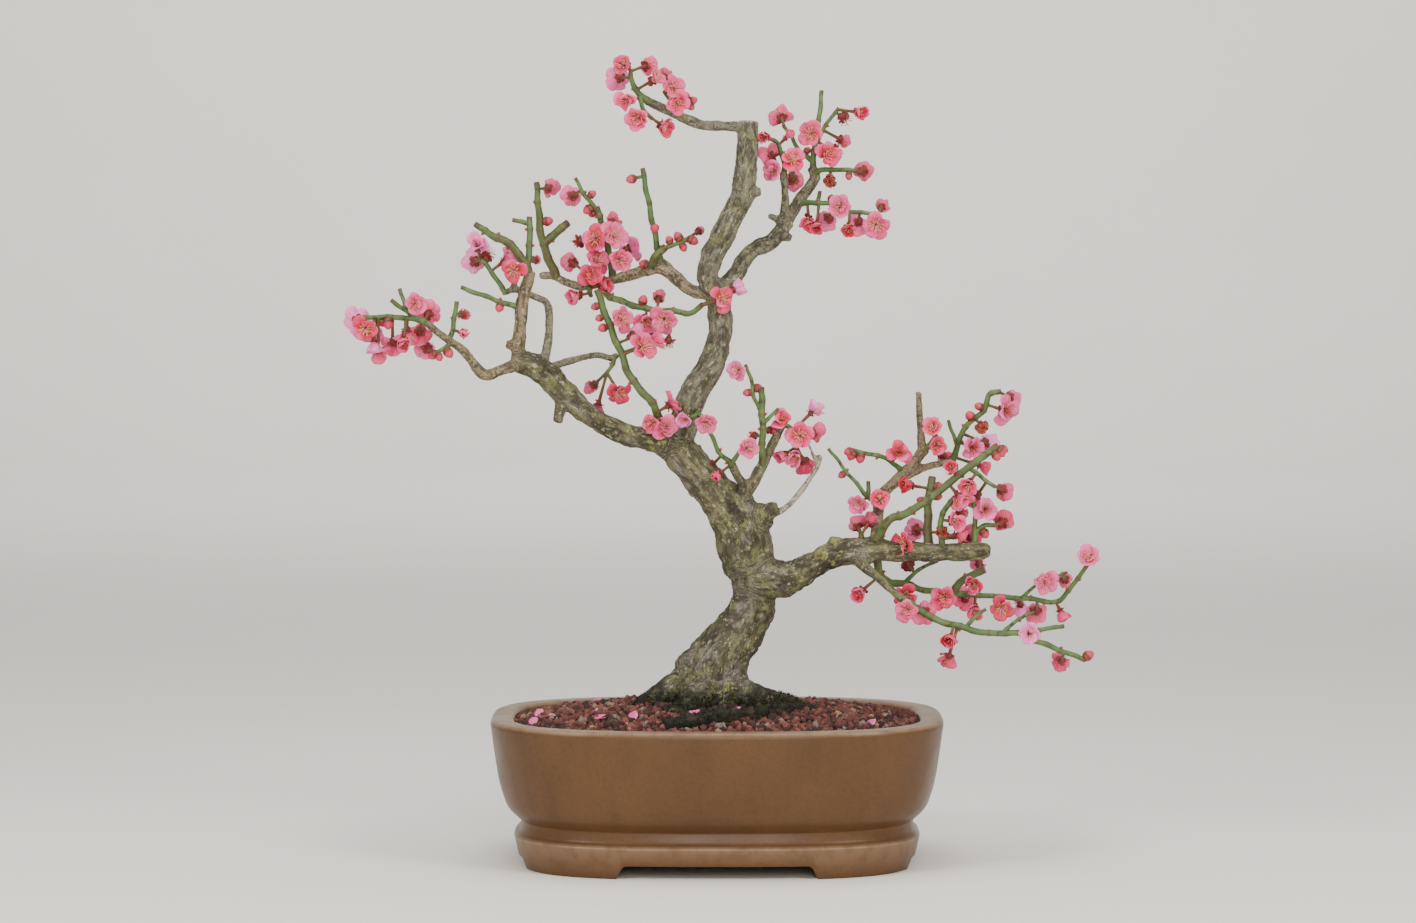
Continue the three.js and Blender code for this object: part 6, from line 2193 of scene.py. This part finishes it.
@dataclass
class Wood:
    """The trunk, its surface roots and its old limbs, grown together as one piece."""

    sides: int = 16
    step: float = 4.0
    voxel: float = 1.3 * MM
    softening: float = 0.5
    softenings: int = 3
    blend: float = 0.08
    batch: int = 3000
    # x, z and size of each patch of lichen
    lichen_spots: Stem = (
        (20, 235, 17), (79, 221, 13), (-40, 298, 10), (8, 120, 14), (-60, 300, 12), (-12, 398, 9),
    )
    bare_lichen: float = 0.22
    # Middle and radius of each sawn end
    cuts: tuple[tuple[Place, float], ...] = (((21.7, 519, -2), 9.0), ((45.6, 484.5, 20), 4.5))
    cut_depth: float = 1.2
    # Where moss starts and where it is full: down the trunk, and out along the roots, under their top
    moss_heights: Span = (128.0, 112.0)
    moss_reaches: Span = (34.0, 42.0)
    root_top: float = 136.0
    root_middle: float = -3.0
    scar_width: float = 0.9
    # x, z and radius of each old pruning scar
    scars: Stem = (
        (31, 172, 4.4), (17, 262, 3.4), (62, 205, 3.6), (-70, 302, 3.2), (4, 372, 3.0), (14, 462, 2.8),
        (2, 300, 3.0),
    )

    def joined(self, lines: Sequence[tuple[np.ndarray, ...]]) -> Piece:
        """Make every limb as round wood and grow the limbs together into one skin.

        Args:
            lines: The points, the radius and the distance run along each limb.

        Returns:
            The piece.
        """
        paths = [{"place": row_points(line), "girth": radii * MM} for line, radii, _ in lines]
        values = {"Sides": self.sides, "Lump size": 15 * MM, "Lump share": 0.7}
        wood = grown(paths_object("old_wood", paths), "wood", values)
        remesh = wood.modifiers.new("skin", "REMESH")
        remesh.mode = "VOXEL"
        remesh.voxel_size = self.voxel
        smooth = wood.modifiers.new("soften", "SMOOTH")
        smooth.factor = self.softening
        smooth.iterations = self.softenings
        return settled(wood)

    def describe(self, wood: Piece, lines: Sequence[tuple[np.ndarray, ...]]) -> None:
        """Store at each corner how thick the limb is and how its bark looks.

        Args:
            wood: The joined limbs.
            lines: The points, the radius and the distance run along each limb.
        """
        line, radii, run = (np.concatenate(parts) for parts in zip(*lines))
        barks = [[limb.bark is bark for bark in Bark] for limb in WOOD]
        barks = np.repeat(barks, [len(part) for part, _, _ in lines], axis=0)
        weighed = np.column_stack([radii, run, line, barks])
        places = (read(wood.data, "position") - np.array(ORIGIN)) / MM
        rows = []
        for start in range(0, len(places), self.batch):
            part = places[start : start + self.batch]
            reach = np.linalg.norm(part[:, None] - line[None], axis=2) / radii
            weight = np.exp(-(reach - reach.min(axis=1, keepdims=True)) / self.blend)
            rows.append((weight / weight.sum(axis=1, keepdims=True)) @ weighed)
        rows = np.concatenate(rows)
        around = places - rows[:, 2:5]
        values = {"girth": rows[:, 0] * MM, "run": rows[:, 1] * MM, "around": around * MM}
        values |= {bark.value: rows[:, 5 + k] for k, bark in enumerate(Bark) if bark is not Bark.OLD}
        for centre, size in self.cuts:
            near = np.linalg.norm(places - np.array(place_at(*centre)), axis=1) < size
            values[Bark.DEAD.value][near & (places[:, 2] > centre[1] - self.cut_depth)] = 1.0
        values["lichen"] = np.full(len(places), self.bare_lichen)
        values["scar"] = np.zeros(len(places))
        for x, z, size in self.lichen_spots:
            spot = np.exp(-((np.hypot(places[:, 0] - x, places[:, 2] - z) / size) ** 2))
            values["lichen"] = np.maximum(values["lichen"], spot)
        for x, z, size in self.scars:
            apart = (np.hypot(places[:, 0] - x, places[:, 2] - z) - size) / self.scar_width
            values["scar"] = np.maximum(values["scar"], np.exp(-(apart**2)) * (around[:, 1] < 0))
        out = np.hypot(places[:, 0] - self.root_middle, places[:, 1]) * (places[:, 2] < self.root_top)
        values["moss"] = np.maximum(ramp(places[:, 2], *self.moss_heights), ramp(out, *self.moss_reaches))
        for name, numbers in values.items():
            store(wood.data, name, numbers)

    def build(self) -> Piece:
        """Make the wood.

        Returns:
            The finished piece.
        """
        lines = [smooth_path(limb.stations, self.step) for limb in WOOD]
        wood = self.joined(lines)
        self.describe(wood, lines)
        bark = BarkFinish("old_bark", roughness=0.9, relief_size=2.2 * MM, relief_height=0.9 * MM).build()
        grown(wood, "bark", {
            "Lump size": 8 * MM, "Lump height": 5 * MM, "Crack width": 4.5 * MM, "Crack depth": 1.3 * MM,
            "Full girth": 13 * MM, "Material": bark,
        })
        seat(wood, "bark", "trunk")
        return wood


@dataclass
class Flowering:
    """The green shoots of one part of the tree, with their blooms and buds."""

    region: Region
    forms: dict[str, Forms]
    finishes: dict[str, Material]
    step: float = 2.2
    joint_pitch: float = 10.5
    joint_width: float = 0.09
    joint_swelling: float = 0.2
    kink: Place = (0.35, 0.21, 0.28)
    kink_start: float = 6.0
    # Distances from a shoot's tip over which it browns, and the widths at which it is old
    tip_browning: Span = (-3.5, -1.5)
    old_widths: Span = (4.2, 7.2)
    spur_size: float = 1.1 * MM
    stalk_widths: Place = (1.4, 1.05, 1.35)
    stalk_inset: float = 0.26
    stalk_bend: float = 0.12
    bloom_size: float = 1.06
    spent_stamens: float = 1.45
    spent_calyx: float = 1.7
    least_calyx: float = 7.5 * MM
    bud_sizes: Span = (0.95, 1.35)
    # The most that a bloom is lilac or deep red by chance, and what the young and the chosen ones are
    chance_lilac: float = 0.5
    chance_deep: float = 0.45
    young_deep: float = 0.25
    chosen_lilac: float = 0.85
    chosen_deep: float = 0.9
    # The share of blooms with old stamens, and how old the others can look
    old_share: float = 0.12
    young_age: float = 0.15
    blooms: list[Bloom] = field(default_factory=list)
    buds: list[Bloom] = field(default_factory=list)
    nodes: list[str] = field(default_factory=list)
    paths: list[Values] = field(default_factory=list)
    spurs: list[dict] = field(default_factory=list)

    def lay_out(self) -> None:
        """Work out every shoot, bloom and bud of the region."""
        for index, (name, spray) in enumerate(SPRAYS.items()):
            if spray.region is self.region:
                self.nodes.append(f"spray_{name}")
                setting = Setting(spray, Draws(SPRAY_SEED + index))
                self.blooms.extend(setting.blooms())
                self.buds.extend(setting.bud(entry) for entry in spray.buds)
                self.paths.extend(self.shoot(stations) for stations in spray.stems)

    def shoot(self, stations: Stem) -> Values:
        """Run one shoot's path, swollen at its joints and a little bent at each.

        Args:
            stations: x, z, depth and diameter at each.

        Returns:
            Its points, how thick it is, and where it is jointed and old.
        """
        line, radii, run = smooth_path(stations, self.step)
        phase = (run % self.joint_pitch) / self.joint_pitch
        joint = np.exp(-(((phase - 0.5) / self.joint_width) ** 2)) * (run < run[-1] - 2)
        self.spurs.extend(self.spur(line, radii, i) for i in np.flatnonzero(joint > 0.8))
        kink = np.sin(run / self.joint_pitch * np.pi)[:, None] * np.array(self.kink)
        kink *= ramp(np.minimum(run, run[-1] - run), 0, self.kink_start)[:, None]
        return {
            "place": row_points(line + kink),
            "girth": radii * (1 + self.joint_swelling * joint) * MM,
            "joint": np.maximum(0.7 * joint, ramp(run - run[-1], *self.tip_browning)),
            "old": 0.85 * ramp(2 * radii, *self.old_widths),
        }

    def spur(self, line: np.ndarray, radii: np.ndarray, i: int) -> dict:
        """Place one small sleeping bud at a joint, on alternate sides of the shoot.

        Args:
            line: The shoot's points.
            radii: Its radius at each.
            i: The point of the joint.

        Returns:
            The bud's place and values.
        """
        along = Vector(line[min(i + 1, len(line) - 1)] - line[i - 1]).normalized()
        side = along.cross(Vector((0, 1, 0))).normalized() * (-1) ** len(self.spurs)
        turn = turn_towards((side + 0.7 * along).normalized(), float(i))
        place = Vector(line[i]) + side * radii[i]
        return {"place": place, "turn": turn, "size": self.spur_size, "variant": i % VARIANTS}

    def stalk(self, bloom: Bloom) -> Values:
        """Run the bent stalk from the shoot to a bloom.

        Args:
            bloom: The bloom.

        Returns:
            The stalk's points, how thick it is, and how near the shoot each is.
        """
        end = bloom.centre - bloom.facing * (self.stalk_inset * bloom.radius)
        length = (end - bloom.base).length
        middle = (bloom.base + end) / 2 - bloom.facing * (self.stalk_bend * length)
        line = row_points(np.array([bloom.base, middle, end]))
        low = np.array([1.0, min(1.2, 0.1 * length), 0.0])
        return {"place": line, "girth": np.array(self.stalk_widths) * MM, "low": low}

    def strands(self, name: str, finish: str, paths: Sequence[Values], form: dict[str, float]) -> None:
        """Make the shoots or the stalks of the region.

        Args:
            name: The piece's name, before the region's.
            finish: Which finish.
            paths: Their paths.
            form: How many sides they have and how lumpy they are.
        """
        piece = paths_object(f"{name}_{self.region.value}", paths)
        seat(grown(piece, "wood", {**form, "Material": self.finishes[finish]}), "blossom_spray")

    def set_out(self, name: str, form: str, rows: Sequence[dict], *nodes: str) -> None:
        """Set out forms.

        Args:
            name: The piece's name, before the region's.
            form: Which forms, and their finish.
            rows: For each, its place in millimetres and its other values by name.
            nodes: The frame's nodes that the piece stands for.
        """
        piece = points_object(f"{name}_{self.region.value}", rows)
        values = {"Forms": self.forms[form], "Material": self.finishes[form]}
        seat(grown(piece, "set_out", values), "blossom_spray", *nodes)

    def tints(self, bloom: Bloom, draws: Draws) -> dict[str, float]:
        """Give how lilac, how deep red and how withered a bloom is.

        Args:
            bloom: The bloom.
            draws: Where its own share comes from.

        Returns:
            The shares, by name.
        """
        lilac, deep = self.chance_lilac * draws.next() ** 2, self.chance_deep * draws.next() ** 2
        if bloom.kind in (Kind.TIGHT, Kind.CUP):
            deep += self.young_deep
        if bloom.seen in LILAC_BLOOMS:
            lilac, deep = self.chosen_lilac, 0.0
        if bloom.seen in DEEP_BLOOMS:
            lilac, deep = 0.0, self.chosen_deep
        return {"lilac": lilac, "deep": deep, "worn": float(bloom.kind is Kind.SPENT)}

    def build(self) -> None:
        """Make the region's pieces."""
        self.lay_out()
        draws = Draws(SPRAY_SEED + 100 * len(self.blooms))
        petals, stamens, calyces = [], [], []
        for bloom in self.blooms:
            pick = int(VARIANTS * draws.next())
            tints = self.tints(bloom, draws)
            is_spent = bloom.kind is Kind.SPENT
            is_old = is_spent or draws.next() < self.old_share
            spent = 1.0 if is_old else self.young_age * draws.next()
            size = bloom.radius * MM
            common = {"place": bloom.centre, "turn": turn_towards(bloom.facing, bloom.spin), "variant": pick}
            variant = list(Kind).index(bloom.kind) * VARIANTS + pick
            petals.append({**common, **tints, "variant": variant, "size": self.bloom_size * size})
            if bloom.kind is not Kind.TIGHT:
                reach = self.spent_stamens if is_spent else 1.0
                stamens.append({**common, "spent": spent, "size": reach * size})
            swelling = self.spent_calyx if is_spent else 1.0
            calyces.append({**common, "size": swelling * max(size, self.least_calyx)})
        buds = []
        smallest, largest = self.bud_sizes
        for bud in self.buds:
            turn = turn_towards(bud.facing, SPIN_RANGE * draws.next())
            size = (smallest + (largest - smallest) * draws.next()) * bud.radius * MM
            pick = int(VARIANTS * draws.next())
            buds.append({"place": bud.centre, "turn": turn, "size": size, "variant": pick})
        stalks = [self.stalk(bloom) for bloom in self.blooms]
        self.strands("shoots", "shoot", self.paths, {"Sides": 8, "Lump size": 3 * MM, "Lump share": 0.25})
        self.strands("stalks", "calyx", stalks, {"Sides": 7, "Lump size": 2 * MM, "Lump share": 0.3})
        self.set_out("petals", "petal", petals, *self.nodes)
        self.set_out("stamens", "stamen", stamens)
        self.set_out("calyces", "calyx", calyces)
        self.set_out("buds", "bud", buds + self.spurs)


@dataclass(frozen=True)
class Lamp:
    """A soft round lamp."""

    name: str
    place: Place
    size: float
    power: float
    colour: Colour = srgb(255, 255, 255)
    aim: Place = (0.0, 0.0, 0.22)

    def hang(self) -> None:
        """Put the lamp in the scene, turned to its aim."""
        lamp = bpy.data.lights.new(self.name, "AREA")
        lamp.shape = "DISK"
        lamp.size = self.size
        lamp.energy = self.power
        lamp.color = self.colour[:3]
        holder = link(self.name, lamp)
        holder.location = ORIGIN + Vector(self.place)
        holder.rotation_euler = (Vector(self.aim) - Vector(self.place)).to_track_quat("-Z", "Y").to_euler()


@dataclass
class Studio:
    """The plain pale floor, the soft lights and the camera."""

    middle_radius: float = 0.3
    floor_radius: float = 5.2
    cove: float = 1.2
    wall_height: float = 1.7
    steps: int = 72
    camera_name: str = "front_camera"
    room: Colour = srgb(240, 240, 240)
    room_strength: float = 0.55
    lamps: tuple[Lamp, ...] = (
        Lamp("left_front", (-1.5, -1.5, 1.35), 0.7, 27.0, srgb(255, 250, 242)),
        Lamp("right_front", (1.5, -1.5, 1.35), 0.7, 27.0, srgb(255, 250, 242)),
        Lamp("front", (0.2, -3.3, 1.0), 1.2, 44.0, srgb(255, 252, 246)),
        Lamp("top", (0.0, -0.2, 2.4), 1.6, 30.0),
        Lamp("wall", (0.0, 3.6, 3.2), 2.4, 100.0, aim=(0.0, 6.4, 0.9)),
    )

    def floor(self) -> None:
        """Make the round floor, which curves up into a low wall, well away."""
        bend = [(math.sin(a), 1 - math.cos(a)) for a in np.linspace(0.1, math.pi / 2, 12)]
        profile = [(self.middle_radius, 0.0), (self.floor_radius, 0.0)]
        profile += [(self.floor_radius + self.cove * out, self.cove * up) for out, up in bend]
        profile += [(self.floor_radius + self.cove, self.wall_height)]
        faces = [face[::-1] for face in ring_faces(len(profile), self.steps)] + [tuple(range(self.steps))]
        shape = Shape()
        shape.add(np.array(ORIGIN) + lathed(profile, self.steps), faces)
        paper = shape.to_object("paper", outward=False)
        dress(paper, StudioFinish("pale_paper", roughness=0.9, relief_height=0.02 * MM).build())

    def light(self) -> None:
        """Hang the lamps and light the room."""
        for lamp in self.lamps:
            lamp.hang()
        world = bpy.data.worlds.new("pale_room")
        world.use_nodes = True
        background = world.node_tree.nodes["Background"]
        background.inputs["Color"].default_value = self.room
        background.inputs["Strength"].default_value = self.room_strength
        bpy.context.scene.world = world

    def camera(self) -> None:
        """Stand the camera where the eye is."""
        data = bpy.data.cameras.new(self.camera_name)
        data.lens = LENS_MM
        data.sensor_width = SENSOR_MM
        data.sensor_fit = "HORIZONTAL"
        data.clip_end = 50.0
        eye = link(self.camera_name, data)
        eye.location = ORIGIN + Vector((EYE_X, -EYE_DISTANCE, EYE_Z)) * MM
        eye.rotation_euler = (math.radians(90 - EYE_PITCH_DEGREES), 0, 0)
        bpy.context.scene.camera = eye

    def build(self) -> None:
        """Set up everything."""
        self.floor()
        self.light()
        self.camera()


TREES = {"wood": shell_tree(), "bark": bark_tree(), "set_out": set_out_tree(), "strew": strew_tree()}
GROUPS = {"mottle": mottle_group(), "fine_relief": relief_group()}

LILAC_BLOOMS = frozenset({
    (11, 401), (-240, 365), (-167, 431), (-169, 421), (188, 294), (213, 182), (219, 160), (66, 315),
    (-22, 310), (-251, 380),
})
DEEP_BLOOMS = frozenset({(136, 264)})


def main() -> None:
    """Build every part of the plant in order."""
    Studio().build()
    pot = Pot()
    pot.build()
    wood = Wood().build()
    forms = BloomForms().build()
    finishes = {
        "shoot": ShootFinish("green_shoot", roughness=0.5).build(),
        "petal": PetalFinish(
            "silky_petal", roughness=0.55, relief_height=0.05 * MM, sheen=0.15, subsurface=0.25
        ).build(),
        "stamen": StamenFinish("stamen", roughness=0.5, relief_height=0.03 * MM, subsurface=0.1).build(),
        "calyx": CalyxFinish("calyx", roughness=0.55).build(),
        "bud": BudFinish("bud", roughness=0.5).build(),
    }
    Ground(pot).build(wood, forms["loose"], finishes["petal"])
    for region in Region:
        Flowering(region, forms, finishes).build()
    for collection in forms.values():
        discard(collection)


if __name__ == "__main__":
    logging.basicConfig(level=logging.INFO, format="%(message)s")
    main()
